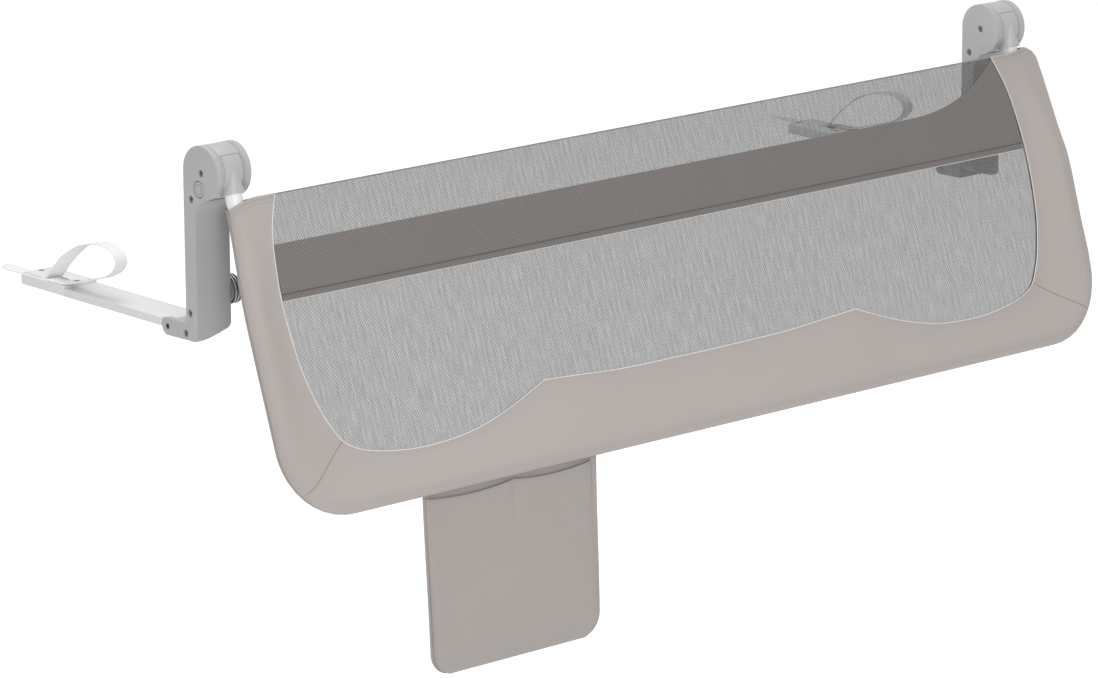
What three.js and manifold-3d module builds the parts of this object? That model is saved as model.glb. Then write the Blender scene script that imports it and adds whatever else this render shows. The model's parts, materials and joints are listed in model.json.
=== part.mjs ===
// Folding bed guard rail: two hinge posts that stand against a bed's side, two arms that lie
// under the mattress, and a fabric rail on a tube frame that swings out and down at the hinges.
// Lengths are in millimetres and +Z is up. The origin is midway between the posts, in the plane
// of the posts' backs (Y) and of the arms' undersides (Z). -X is left, seen from outside the bed.
import * as THREE from 'three';
import { mergeVertices } from 'three/addons/utils/BufferGeometryUtils.js';
import Module from 'manifold-3d';

const wasm = await Module();
wasm.setup();

// Driving dimensions of the whole rail
const railLength = 1500;
const hingeHeight = 220.5;
const railDrop = 475;
const railTilt = THREE.MathUtils.degToRad(19.3);
const foldAngle = Math.PI - railTilt;

// Named clearances and the overrun of cutting tools
const touchGap = 0.3;
const slideGap = 0.4;
const cutOverrun = 1;
const mergeTolerance = 1e-4;

// Post and hinge head
const postWidth = 56;
const postDepth = 24;
const postWall = 2.5;
const headRadius = 36.5;
const neckRadius = 30;
const footDrop = 9;
const footSlant = 13;
const footCorner = 6;
const cheekWidth = 8;
const discWidth = 11;
const drumCutDrop = 22;

// Places of the fasteners on a post: back from the post's back plane is +Y
const upperScrewInset = 14.5;
const upperScrewDrop = 38;
const lowerScrewInset = 7.5;
const lowerScrewHeight = 28;
const footScrewReach = 2.6;
const footScrewHeight = -0.7;
const armPivotReach = 41;
const armPivotHeight = 1.8;
const armPivotRadius = 4;
const forkRadius = 12;

// Screws, axle and the standoff between the two shells
const screwHeadRadius = 4.4;
const screwHeadHeight = 1.9;
const screwHeadSink = 0.1;
const screwShankRadius = 2.2;
const screwSocketRadius = 2;
const screwSocketDepth = 1.1;
const screwSocketFacets = 6;
const axisScrewLength = 13;
const longScrewLength = 42;
const axleRadius = 5;
const axleInset = 4.4;
const standoffRadius = 4.4;
const standoffInset = 8;

// Rotor, its tapered tube socket, and the arc groove of the lock pin
const drumRadius = 35.8;
const tubeOffset = 22;
const socketLength = 36;
const socketTipRise = 6;
const socketTipRadius = 6;
const socketMouthRadius = 15.6;
const tubeStart = 9;
const lockPinRadius = 4.5;
const lockPinLength = 15.5;
const lockGrooveDepth = 11.5;

// Release button and its spring
const buttonRadius = 10.4;
const buttonBack = 4;
const buttonDrop = 22;
const buttonProud = 0.6;
const buttonCap = 2.6;
const buttonSkirt = 2.4;
const buttonSkirtWall = 2;
const buttonBoreDepth = 8;
const springRadius = 6.3;
const springWire = 1;
const springTurns = 2.5;

// Steel spine in each post
const spineThickness = 2;
const spineBottom = 44;
const spineTop = 160;
const spineEndGap = 4;

// Arm that lies under the mattress, and its end piece
const armThickness = 11;
const armEdge = 0.5;
const armStart = 13.5;
const knuckleRadius = 11;
const armReach = 382;
const endPieceLength = 110;
const endPieceHeight = 14.5;
const endChamfer = 8;
const tongueLength = 24;
const tongueEdge = 10;
const tongueSkin = 2.4;
const endScrewInset = 18;
const endScrewSide = 18.8;
const endScrewLength = 8;

// Webbing strap on the arm
const strapWidth = 20;
const strapThickness = 1.6;
const strapTail = 68;
const strapFloor = 10;
const strapMouthLength = 32;
const strapMouthStart = 26;
const strapLoopHeight = 73;
const strapLoopLength = 170;

// Tube frame of the rail
const tubeRadius = 11.5;
const tubeWall = 1.2;
const sideFlare = 22;
const sideBow = 18;
const bendStart = 46;
const bendEnd = 215;
const cornerRadius = 85;
const tubeJoint = 300;
const joinerRadius = 9.9;
const joinerWall = 1.5;
const joinerLength = 70;

// Fabric cover, mesh and band
const coverStart = 45;
const coverThickness = 1.4;
const coverSlack = 1.2;
const meshThickness = 1;
const meshOffset = 34.1;
const meshTuck = 5;
const bandTop = 111;
const bandBottom = 185.5;
const bandThickness = 0.8;
const windowHalf = 694;

// Pocket that hangs behind the cover's lower edge
const pocketLeft = -527;
const pocketWidth = 298;
const pocketHeight = 260;
const pocketDepth = 13;
const pocketSheet = 1.5;
const pocketTaper = 6;
const pocketCorner = 32;
const pocketMouthDrop = 20;
const pocketTilt = THREE.MathUtils.degToRad(1.1);

// Wire coil on a peg at each post's inner side
const coilWire = 3;
const coilRadius = 19;
const coilTurns = 2.5;
const coilPitch = 5;
const coilHeight = 52;
const coilInset = 12;
const pegReach = 17;

// Facets of round shapes
const roundFacets = 18;
const headFacets = 24;
const smallFacets = 10;
const tubeFacets = 12;
const sideTubeSteps = 40;
const springFacets = 5;
const stepsPerTurn = 8;
const coilStepsPerTurn = 16;
const coverArcSteps = 4;
const coverWebSteps = 4;

// Worked-out places of the left post; the right one is its mirror image
const postOuter = -railLength / 2;
const postInner = postOuter + postWidth;
const postMiddle = postOuter + postWidth / 2;
const hingeY = -headRadius;
const drumWidth = postWidth - 2 * discWidth - 2 * touchGap;

const plastic = { color: 0xa3a4a6, roughness: 0.45, metalness: 0 };
const rotorPlastic = { color: 0xb4b5b7, roughness: 0.4, metalness: 0 };
const steel = { color: 0x9a9a9c, roughness: 0.35, metalness: 0.9 };
const paintedTube = { color: 0xf0f0ee, roughness: 0.35, metalness: 0.1 };
const armPaint = { color: 0xdddddd, roughness: 0.45, metalness: 0.1 };
const webbing = { color: 0xe4e4e4, roughness: 0.9, metalness: 0 };
const coverCloth = { color: 0xb6afa9, roughness: 0.9, metalness: 0 };
const backCloth = { color: 0x8c8680, roughness: 0.9, metalness: 0 };
const meshCloth = { color: 0xacadad, roughness: 0.85, metalness: 0 };
const bandCloth = { color: 0x7d7874, roughness: 0.9, metalness: 0 };

const root = new THREE.Group();

// The rail's own group turns with the rail: X is across, -Y out of the bed, -Z down the rail
const railGroup = new THREE.Group();
railGroup.position.set(0, hingeY, hingeHeight);
railGroup.rotation.x = -railTilt;
root.add(railGroup);

function addMesh(group, name, geometry, finish) {
  const mesh = new THREE.Mesh(geometry, new THREE.MeshStandardMaterial(finish));
  mesh.name = name;
  group.add(mesh);
  return mesh;
}

// Solids: a closed geometry in, joined or cut, and a geometry out
function toSolid(geometry) {
  const bare = geometry.clone();
  bare.deleteAttribute('normal');
  bare.deleteAttribute('uv');
  const merged = mergeVertices(bare, mergeTolerance);
  return new wasm.Manifold(new wasm.Mesh({
    numProp: 3,
    vertProperties: new Float32Array(merged.attributes.position.array),
    triVerts: new Uint32Array(merged.index.array),
  }));
}

function toGeometry(solid) {
  const mesh = solid.getMesh();
  const geometry = new THREE.BufferGeometry();
  geometry.setAttribute('position', new THREE.BufferAttribute(mesh.vertProperties, mesh.numProp));
  geometry.setIndex(new THREE.BufferAttribute(mesh.triVerts, 1));
  return geometry;
}

function cutFrom(base, tools) {
  let solid = toSolid(base);
  for (const tool of tools) solid = solid.subtract(toSolid(tool));
  return toGeometry(solid);
}

function joinAll(pieces) {
  let solid = toSolid(pieces[0]);
  for (const piece of pieces.slice(1)) solid = solid.add(toSolid(piece));
  return toGeometry(solid);
}

// A mirror image in the plane X = 0, with its faces still pointing out
function mirrored(geometry) {
  const image = geometry.index ? geometry.toNonIndexed() : geometry.clone();
  const position = image.attributes.position;
  for (let i = 0; i < position.count; i += 3) {
    for (let k = 0; k < 3; k += 1) position.setX(i + k, -position.getX(i + k));
    const corner = new THREE.Vector3().fromBufferAttribute(position, i + 1);
    position.setXYZ(i + 1, position.getX(i + 2), position.getY(i + 2), position.getZ(i + 2));
    position.setXYZ(i + 2, corner.x, corner.y, corner.z);
  }
  image.deleteAttribute('normal');
  image.deleteAttribute('uv');
  return mergeVertices(image, mergeTolerance);
}

function block(x0, x1, y0, y1, z0, z1) {
  const geometry = new THREE.BoxGeometry(x1 - x0, y1 - y0, z1 - z0);
  geometry.translate((x0 + x1) / 2, (y0 + y1) / 2, (z0 + z1) / 2);
  return geometry;
}

// A cylinder along X that starts at x0
function rodX(radius, x0, length, y, z, facets = smallFacets) {
  const geometry = new THREE.CylinderGeometry(radius, radius, length, facets);
  geometry.rotateZ(Math.PI / 2);
  geometry.translate(x0 + length / 2, y, z);
  return geometry;
}

function rodZ(radius, x, y, z0, length, facets = smallFacets) {
  const geometry = new THREE.CylinderGeometry(radius, radius, length, facets);
  geometry.rotateX(Math.PI / 2);
  geometry.translate(x, y, z0 + length / 2);
  return geometry;
}

// A shape drawn in Y and Z, extruded along X from x0 to x1
const sideways = new THREE.Matrix4().makeBasis(
  new THREE.Vector3(0, 1, 0), new THREE.Vector3(0, 0, 1), new THREE.Vector3(1, 0, 0));

// curveSegments is half the facets of a full circle
function profileX(shape, x0, x1, curveSegments = smallFacets / 2) {
  const geometry = new THREE.ExtrudeGeometry(
    shape, { depth: x1 - x0, bevelEnabled: false, curveSegments });
  geometry.applyMatrix4(sideways);
  geometry.translate(x0, 0, 0);
  return geometry;
}

// A shape drawn across (X) and down (v), extruded out of the bed from offset w0 to w1
const flatOnRail = new THREE.Matrix4().makeBasis(
  new THREE.Vector3(1, 0, 0), new THREE.Vector3(0, 0, 1), new THREE.Vector3(0, -1, 0));

function profileOnRail(shape, w0, w1) {
  const geometry = new THREE.ExtrudeGeometry(
    shape, { depth: w1 - w0, bevelEnabled: false, curveSegments: smallFacets / 2 });
  geometry.applyMatrix4(flatOnRail);
  geometry.translate(0, -w0, 0);
  return geometry;
}

// Side view of a post: hinge head, concave neck, straight post and the fork for the arm
function postOutline() {
  const neckReach = headRadius - postDepth - neckRadius;
  const neckFall = Math.sqrt((headRadius + neckRadius) ** 2 - neckReach ** 2);
  const neckTurn = Math.atan2(-neckFall, neckReach);
  const neckY = hingeY + neckReach;
  const neckZ = hingeHeight - neckFall;
  const shape = new THREE.Shape();
  shape.moveTo(0, hingeHeight);
  shape.lineTo(0, armPivotHeight + forkRadius + footCorner);
  shape.quadraticCurveTo(0, armPivotHeight + forkRadius, footCorner, armPivotHeight + forkRadius);
  shape.absarc(armPivotReach, armPivotHeight, forkRadius, Math.PI / 2, -Math.PI / 2, true);
  shape.lineTo(-postDepth + footCorner, -footDrop);
  shape.quadraticCurveTo(-postDepth, -footDrop, -postDepth, -footDrop + footCorner);
  shape.absarc(neckY, neckZ, neckRadius, 0, neckTurn + Math.PI, false);
  shape.absarc(hingeY, hingeHeight, headRadius, neckTurn, -2 * Math.PI, true);
  return shape;
}

// What both shells of a post lose: drum space, fork slot, slanted foot, spine room and bores
function postCuts() {
  const drumLow = postOuter + discWidth;
  const drumHigh = postInner - discWidth;
  const cuts = [];
  cuts.push(rodX(headRadius + touchGap, drumLow, drumHigh - drumLow, hingeY, hingeHeight, 2 * roundFacets));
  cuts.push(block(drumLow, drumHigh, -2 * headRadius - cutOverrun, cutOverrun,
    hingeHeight - drumCutDrop, hingeHeight + headRadius + cutOverrun));
  cuts.push(block(postOuter + cheekWidth, postInner - cheekWidth,
    armPivotReach - forkRadius - touchGap, armPivotReach + 2 * forkRadius,
    -2 * forkRadius, 2 * forkRadius));
  const slant = new THREE.Shape();
  slant.moveTo(postOuter - cutOverrun, -footDrop - cutOverrun);
  slant.lineTo(postInner + cutOverrun, -footDrop - cutOverrun);
  slant.lineTo(postInner + cutOverrun, -footDrop + footSlant);
  slant.lineTo(postOuter + postWall, -footDrop);
  slant.lineTo(postOuter - cutOverrun, -footDrop);
  const wedge = new THREE.ExtrudeGeometry(slant, { depth: postDepth + cutOverrun, bevelEnabled: false });
  wedge.rotateX(Math.PI / 2);
  cuts.push(wedge);
  cuts.push(block(postOuter + postWall, postInner - postWall, -postDepth + postWall, -postWall,
    spineBottom - spineEndGap, spineTop + spineEndGap));
  cuts.push(rodX(axleRadius + touchGap, postOuter + axleInset - touchGap,
    postWidth - 2 * (axleInset - touchGap), hingeY, hingeHeight));
  cuts.push(rodX(standoffRadius + touchGap, postOuter + standoffInset - touchGap,
    postWidth - 2 * (standoffInset - touchGap), -upperScrewInset, hingeHeight - upperScrewDrop));
  cuts.push(rodX(armPivotRadius + touchGap, postOuter - cutOverrun, postWidth + 2 * cutOverrun,
    armPivotReach, armPivotHeight));
  for (const place of [axisPlace, upperPlace]) {
    cuts.push(...screwBores(place, axisScrewLength, false), ...screwBores(place, axisScrewLength, true));
  }
  for (const place of [lowerPlace, footPlace]) cuts.push(...screwBores(place, longScrewLength, false));
  return cuts;
}

const axisPlace = [hingeY, hingeHeight];
const upperPlace = [-upperScrewInset, hingeHeight - upperScrewDrop];
const lowerPlace = [-lowerScrewInset, lowerScrewHeight];
const footPlace = [footScrewReach, footScrewHeight];

// The counterbore and hole of a screw that enters from the outer or the inner face
function screwBores([y, z], length, fromInside) {
  const headDepth = screwHeadSink + screwHeadHeight + touchGap;
  const holeDepth = screwHeadSink + screwHeadHeight + length + touchGap;
  const headStart = fromInside ? postInner - headDepth : postOuter - cutOverrun;
  const holeStart = fromInside ? postInner - holeDepth : postOuter - cutOverrun;
  return [
    rodX(screwHeadRadius + touchGap, headStart, headDepth + cutOverrun, y, z),
    rodX(screwShankRadius + touchGap, holeStart, holeDepth + cutOverrun, y, z),
  ];
}

// A cap screw along X with a hexagon socket
function screwX([y, z], length, fromInside) {
  const faceX = fromInside ? postInner - screwHeadSink : postOuter + screwHeadSink;
  const way = fromInside ? -1 : 1;
  const span = (start, size) => Math.min(faceX + way * start, faceX + way * (start + size));
  const whole = joinAll([
    rodX(screwHeadRadius, span(0, screwHeadHeight), screwHeadHeight, y, z),
    rodX(screwShankRadius, span(screwHeadHeight / 2, screwHeadHeight / 2 + length),
      screwHeadHeight / 2 + length, y, z),
  ]);
  return cutFrom(whole, [rodX(screwSocketRadius, span(-cutOverrun, screwSocketDepth + cutOverrun),
    screwSocketDepth + cutOverrun, y, z, screwSocketFacets)]);
}

function buttonPlace() {
  return [hingeY + buttonBack, hingeHeight - buttonDrop];
}

function outerShell() {
  const [y, z] = buttonPlace();
  return cutFrom(profileX(postOutline(), postOuter, postMiddle - touchGap / 2, headFacets / 2), [
    ...postCuts(),
    rodX(buttonRadius + touchGap, postOuter - cutOverrun, buttonBoreDepth + cutOverrun, y, z, roundFacets),
    rodX(lockPinRadius + touchGap, postOuter, discWidth + cutOverrun, y, z),
  ]);
}

function innerShell() {
  const half = profileX(postOutline(), postMiddle + touchGap / 2, postInner, headFacets / 2);
  const pegRadius = coilRadius - coilWire / 2 - touchGap;
  const peg = rodX(pegRadius, postInner - postWall / 2, pegReach + postWall / 2, -coilInset, coilHeight,
    roundFacets);
  return joinAll([cutFrom(half, postCuts()), peg]);
}

function threadedRod([y, z], radius, inset) {
  const start = postOuter + inset;
  const length = postWidth - 2 * inset;
  const depth = screwHeadSink + screwHeadHeight + axisScrewLength + touchGap - inset;
  return cutFrom(rodX(radius, start, length, y, z), [
    rodX(screwShankRadius + touchGap, start - cutOverrun, depth + cutOverrun, y, z),
    rodX(screwShankRadius + touchGap, start + length - depth, depth + cutOverrun, y, z),
  ]);
}

// A folded steel channel in the post, open towards the back
function postSpine() {
  const x0 = postOuter + postWall + touchGap;
  const x1 = postInner - postWall - touchGap;
  const y0 = -postDepth + postWall + touchGap;
  const y1 = -postWall - touchGap;
  return cutFrom(block(x0, x1, y0, y1, spineBottom, spineTop), [
    block(x0 + spineThickness, x1 - spineThickness, y0 + spineThickness, y1 + cutOverrun,
      spineBottom - cutOverrun, spineTop + cutOverrun)]);
}

// Drum between the two discs with the tapered socket that holds the side tube
function rotor() {
  const drum = rodX(drumRadius, postMiddle - drumWidth / 2, drumWidth, 0, 0, 2 * roundFacets);
  const socket = new THREE.CylinderGeometry(
    socketTipRadius, socketMouthRadius, socketLength + socketTipRise, roundFacets);
  socket.rotateX(Math.PI / 2);
  socket.translate(postMiddle, -tubeOffset, (socketTipRise - socketLength) / 2);
  return cutFrom(joinAll([drum, socket]), [
    rodX(axleRadius + touchGap, postOuter, postWidth, 0, 0),
    rodZ(tubeRadius + touchGap, postMiddle, -tubeOffset, -socketLength - cutOverrun,
      socketLength + cutOverrun - tubeStart + touchGap, roundFacets),
    lockGroove(),
  ]);
}

// The lock pin's place seen from the turning rail, and the arc that it sweeps in the drum
function lockGroove() {
  const back = buttonBack * Math.cos(railTilt) + buttonDrop * Math.sin(railTilt);
  const down = buttonDrop * Math.cos(railTilt) - buttonBack * Math.sin(railTilt);
  const radius = Math.hypot(back, down);
  const start = Math.atan2(-down, back);
  const end = start + foldAngle;
  const half = lockPinRadius + slideGap;
  const shape = new THREE.Shape();
  const roundEnd = (turn, from) => shape.absarc(
    radius * Math.cos(turn), radius * Math.sin(turn), half, from, from + Math.PI, false);
  shape.absarc(0, 0, radius + half, start, end, false);
  roundEnd(end, end);
  shape.absarc(0, 0, radius - half, end, start, true);
  roundEnd(start, start + Math.PI);
  const face = postMiddle - drumWidth / 2;
  return profileX(shape, face - cutOverrun, face + lockGrooveDepth, roundFacets / 2);
}

function releaseButton() {
  const [y, z] = buttonPlace();
  const face = postOuter - buttonProud;
  return cutFrom(rodX(buttonRadius, face, buttonCap + buttonSkirt, y, z, roundFacets), [
    rodX(buttonRadius - buttonSkirtWall, face + buttonCap, buttonSkirt + cutOverrun, y, z, roundFacets)]);
}

function lockPin() {
  const [y, z] = buttonPlace();
  return rodX(lockPinRadius, postOuter - buttonProud + buttonCap + touchGap, lockPinLength, y, z);
}

// A helix along X about the point (y, z)
class HelixX extends THREE.Curve {
  constructor(radius, x0, length, y, z, turns) {
    super();
    Object.assign(this, { radius, x0, length, y, z, turns });
  }

  getPoint(t, target = new THREE.Vector3()) {
    const turn = 2 * Math.PI * this.turns * t;
    return target.set(this.x0 + this.length * t,
      this.y + this.radius * Math.cos(turn), this.z + this.radius * Math.sin(turn));
  }
}

// A round wire along a curve. Its least gap to itself is measured between points that lie more
// than a wire's width apart along it.
function wireAlong(curve, wire, steps) {
  const points = curve.getSpacedPoints(steps);
  const stride = curve.getLength() / steps;
  let least = Infinity;
  points.forEach((point, i) => {
    const far = points.slice(i + 1 + Math.ceil(2 * wire / stride));
    for (const other of far) least = Math.min(least, point.distanceTo(other) - wire);
  });
  console.log(`least gap between turns ${least.toFixed(2)} mm`);
  const section = new THREE.Shape();
  section.absarc(0, 0, wire / 2, 0, 2 * Math.PI, false);
  return new THREE.ExtrudeGeometry(
    section, { steps, extrudePath: curve, bevelEnabled: false, curveSegments: springFacets / 2 });
}

function buttonSpring() {
  const [y, z] = buttonPlace();
  const start = postOuter - buttonProud + buttonCap + touchGap + springWire / 2;
  const end = postOuter + buttonBoreDepth - touchGap - springWire / 2;
  return wireAlong(new HelixX(springRadius, start, end - start, y, z, springTurns),
    springWire, springTurns * stepsPerTurn);
}

// Arm: a knuckle between the fork's cheeks, a flat bar and a tongue inside the end piece
const armLow = postOuter + armEdge;
const armHigh = postInner - armEdge;
const barStart = armPivotReach + armStart;
const endStart = armReach - endPieceLength;

function arm() {
  const slotLow = postOuter + cheekWidth + touchGap;
  const slotHigh = postInner - cheekWidth - touchGap;
  const pieces = [
    rodX(knuckleRadius, slotLow, slotHigh - slotLow, armPivotReach, armPivotHeight, roundFacets),
    block(slotLow, slotHigh, armPivotReach, barStart + cutOverrun, 0, armThickness),
    block(armLow, armHigh, barStart, endStart - touchGap, 0, armThickness),
    block(armLow + tongueEdge, armHigh - tongueEdge, endStart - tongueEdge,
      endStart + tongueLength, tongueSkin, armThickness - tongueSkin),
  ];
  return cutFrom(joinAll(pieces), [
    rodX(armPivotRadius + touchGap, postOuter, postWidth, armPivotReach, armPivotHeight),
    ...endScrewBores(endStart + endScrewInset)]);
}

// The end piece's screws sit beside the strap, on the side of the bed's middle
function endScrewBores(y) {
  const depth = screwHeadSink + screwHeadHeight + touchGap;
  const length = depth + endScrewLength;
  const x = postMiddle + endScrewSide;
  return [
    rodZ(screwHeadRadius + touchGap, x, y, endPieceHeight - depth, depth + cutOverrun),
    rodZ(screwShankRadius + touchGap, x, y, endPieceHeight - length, length + cutOverrun),
  ];
}

function endPiece() {
  const shape = new THREE.Shape();
  shape.moveTo(endStart, 0);
  shape.lineTo(armReach, 0);
  shape.lineTo(armReach, endPieceHeight - endChamfer);
  shape.lineTo(armReach - endChamfer, endPieceHeight);
  shape.lineTo(endStart, endPieceHeight);
  const strapLow = postMiddle - strapWidth / 2 - slideGap;
  const strapHigh = postMiddle + strapWidth / 2 + slideGap;
  const mouth = endStart + strapMouthStart;
  return cutFrom(profileX(shape, postOuter, postInner), [
    block(armLow + tongueEdge - touchGap, armHigh - tongueEdge + touchGap, endStart - cutOverrun,
      endStart + tongueLength + touchGap, tongueSkin - touchGap, armThickness - tongueSkin + touchGap),
    block(strapLow, strapHigh, mouth, armReach + cutOverrun,
      strapFloor - touchGap, strapFloor + strapThickness + touchGap),
    block(strapLow, strapHigh, mouth, mouth + strapMouthLength, strapFloor - touchGap,
      endPieceHeight + cutOverrun),
    ...endScrewBores(endStart + endScrewInset),
    ...endScrewBores(armReach - endScrewInset)]);
}

function endScrew(y) {
  const top = endPieceHeight - screwHeadSink;
  const x = postMiddle + endScrewSide;
  const whole = joinAll([
    rodZ(screwHeadRadius, x, y, top - screwHeadHeight, screwHeadHeight),
    rodZ(screwShankRadius, x, y, top - screwHeadHeight - endScrewLength + touchGap,
      endScrewLength + screwHeadHeight / 2 - touchGap),
  ]);
  return cutFrom(whole, [rodZ(screwSocketRadius, x, y, top - screwSocketDepth,
    screwSocketDepth + cutOverrun, screwSocketFacets)]);
}

// The strap's middle line in Y and Z: tail, channel, loop and the end on the end piece
const strapLoopShares = [
  [-0.1, 0.16], [-0.27, 0.53], [-0.5, 0.86], [-0.76, 1], [-0.94, 0.94], [-1, 0.75],
  [-0.93, 0.54], [-0.74, 0.38], [-0.53, 0.28], [-0.38, 0.16],
];

function strap() {
  const floor = strapFloor + strapThickness / 2;
  const mouth = endStart + strapMouthStart + strapMouthLength;
  const top = endPieceHeight + touchGap + strapThickness / 2;
  const points = [
    new THREE.Vector2(armReach + strapTail, floor),
    new THREE.Vector2(mouth + strapWidth, floor),
    new THREE.Vector2(mouth, floor),
    new THREE.Vector2(mouth - 4 * strapThickness, floor + strapThickness),
  ];
  for (const [along, up] of strapLoopShares) {
    points.push(new THREE.Vector2(mouth + along * strapLoopLength, floor + up * strapLoopHeight));
  }
  points.push(new THREE.Vector2(endStart + strapWidth / 2, top + strapThickness / 2));
  points.push(new THREE.Vector2(endStart + strapWidth, top));
  const line = new THREE.SplineCurve(points).getPoints(4 * points.length);
  const left = [];
  const right = [];
  line.forEach((point, i) => {
    const before = line[Math.max(i - 1, 0)];
    const after = line[Math.min(i + 1, line.length - 1)];
    const side = after.clone().sub(before).normalize().rotateAround(new THREE.Vector2(), Math.PI / 2);
    left.push(point.clone().addScaledVector(side, strapThickness / 2));
    right.push(point.clone().addScaledVector(side, -strapThickness / 2));
  });
  const outline = new THREE.Shape([...left, ...right.reverse()]);
  return profileX(outline, postMiddle - strapWidth / 2, postMiddle + strapWidth / 2, 1);
}

function pivotPin() {
  return rodX(armPivotRadius, postOuter + armEdge, postWidth - 2 * armEdge, armPivotReach, armPivotHeight);
}

// Wire coil round the peg, pressed against the post's inner face
function wireCoil() {
  const start = postInner + touchGap + coilWire / 2;
  const helix = new HelixX(coilRadius, start, coilTurns * coilPitch, -coilInset, coilHeight, coilTurns);
  return wireAlong(helix, coilWire, coilTurns * coilStepsPerTurn);
}

// The side tube's middle line: place across, down and out of the bed for a drop below the hinge
function easeShare(share) {
  const s = THREE.MathUtils.clamp(share, 0, 1);
  return s * s * (3 - 2 * s);
}

function frameAcross(drop) {
  return -postMiddle + sideFlare * easeShare((drop - bendStart) / (bendEnd - bendStart));
}

function frameOut(drop) {
  return tubeOffset + sideBow * easeShare((drop - bendStart) / (bendEnd - bendStart));
}

const rollRadius = tubeRadius + coverSlack + coverThickness;
const tubeFoot = railDrop - rollRadius;
const cornerStart = tubeFoot - cornerRadius;
const sideAcross = frameAcross(railDrop);
const cornerAcross = sideAcross - cornerRadius;

// A point on the left half of the frame, by its length along the tube below the cover's start
function frameAt(length) {
  const side = cornerStart - coverStart;
  const quarter = cornerRadius * Math.PI / 2;
  if (length <= side) {
    const drop = coverStart + length;
    return { across: frameAcross(drop), drop, out: frameOut(drop), inward: [-1, 0] };
  }
  if (length <= side + quarter) {
    const turn = (length - side) / cornerRadius;
    return { across: cornerAcross + cornerRadius * Math.cos(turn),
      drop: cornerStart + cornerRadius * Math.sin(turn), out: frameOut(railDrop),
      inward: [-Math.cos(turn), -Math.sin(turn)] };
  }
  return { across: cornerAcross - (length - side - quarter), drop: tubeFoot, out: frameOut(railDrop),
    inward: [0, -1] };
}

const frameHalf = cornerStart - coverStart + cornerRadius * Math.PI / 2 + cornerAcross;

class SideTubeCurve extends THREE.Curve {
  getPoint(t, target = new THREE.Vector3()) {
    const head = coverStart - tubeStart;
    const length = t * (frameHalf + head - tubeJoint) - head;
    if (length < 0) return target.set(postMiddle, -tubeOffset, -(coverStart + length));
    const place = frameAt(length);
    return target.set(-place.across, -place.out, -place.drop);
  }
}

// A hollow ring for tubes
function ringShape(outer, wall) {
  const ring = new THREE.Shape();
  ring.absarc(0, 0, outer, 0, 2 * Math.PI, false);
  const bore = new THREE.Path();
  bore.absarc(0, 0, outer - wall, 0, 2 * Math.PI, true);
  ring.holes.push(bore);
  return ring;
}

function sideTube() {
  return new THREE.ExtrudeGeometry(ringShape(tubeRadius, tubeWall), {
    steps: sideTubeSteps,
    extrudePath: new SideTubeCurve(),
    bevelEnabled: false,
    curveSegments: tubeFacets / 2,
  });
}

// A straight hollow tube along X in the rail's lower edge
function straightTube(outer, wall, x0, x1) {
  const geometry = profileX(ringShape(outer, wall), x0, x1, tubeFacets / 2);
  geometry.translate(0, -frameOut(railDrop), -tubeFoot);
  return geometry;
}

// A sleeve inside the tubes where a side tube meets the lower one
function tubeJoiner() {
  const start = -tubeJoint - joinerLength / 2;
  return straightTube(joinerRadius, joinerWall, start, start + joinerLength);
}

// The window's edge on one half, as shares of its half width and of the rail's drop, each
// beside the frame length, as a share of its half, that it faces. The lobe ends in a cusp.
const lobeEdgeShares = [
  [0, 0.96, 0.095], [0.046, 0.986, 0.2], [0.096, 0.997, 0.316], [0.152, 1, 0.432],
  [0.226, 0.99, 0.59], [0.281, 0.968, 0.705], [0.305, 0.951, 0.758], [0.366, 0.927, 0.808],
  [0.428, 0.879, 0.84], [0.49, 0.807, 0.859], [0.555, 0.735, 0.865], [0.62, 0.634, 0.855],
  [0.68, 0.533, 0.819], [0.746, 0.422, 0.758],
];
const middleEdgeShares = [
  [0.746, 0.422, 0.758], [0.8, 0.331, 0.766], [0.87, 0.216, 0.776], [1, 0, 0.779],
];
// Steps between neighbouring rows: more of them round the frame's corner
const lobeSteps = [2, 2, 2, 1, 1, 2, 4, 4, 2, 1, 1, 1, 2];
const middleSteps = [1, 1, 2];

function edgeStations(shares, steps) {
  const curve = new THREE.CatmullRomCurve3(shares.map((row) => new THREE.Vector3(...row)));
  return steps.flatMap((count, row) => Array.from({ length: count }, (_, i) => {
    const point = curve.getPoint((row + i / count) / steps.length);
    return stationAt(...point.toArray());
  }));
}

function stationAt(lengthShare, acrossShare, dropShare) {
  return { ...frameAt(lengthShare * frameHalf), edgeAcross: acrossShare * windowHalf,
    edgeDrop: dropShare * railDrop };
}

const halfStations = [
  ...edgeStations(lobeEdgeShares, lobeSteps), ...edgeStations(middleEdgeShares, middleSteps),
  stationAt(...middleEdgeShares.at(-1))];
const allStations = [
  ...halfStations.map((s) => ({ ...s, across: -s.across, edgeAcross: -s.edgeAcross,
    inward: [-s.inward[0], s.inward[1]] })),
  ...halfStations.slice(0, -1).reverse()];

// A closed solid through rings of points, with flat ends
function loft(rings) {
  const size = rings[0].length;
  const positions = rings.flat().flatMap((p) => [p.x, p.y, p.z]);
  const index = [];
  for (let r = 0; r + 1 < rings.length; r += 1) {
    for (let i = 0; i < size; i += 1) {
      const a = r * size + i;
      const b = r * size + (i + 1) % size;
      index.push(a, b, b + size, a, b + size, a + size);
    }
  }
  const half = size / 2;
  const last = (rings.length - 1) * size;
  for (let i = 0; i + 1 < half; i += 1) {
    const j = size - 1 - i;
    index.push(i, j, j - 1, i, j - 1, i + 1);
    index.push(last + i, last + j - 1, last + j, last + i, last + i + 1, last + j - 1);
  }
  const geometry = new THREE.BufferGeometry();
  geometry.setAttribute('position', new THREE.Float32BufferAttribute(positions, 3));
  geometry.setIndex(index);
  return geometry;
}

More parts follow.
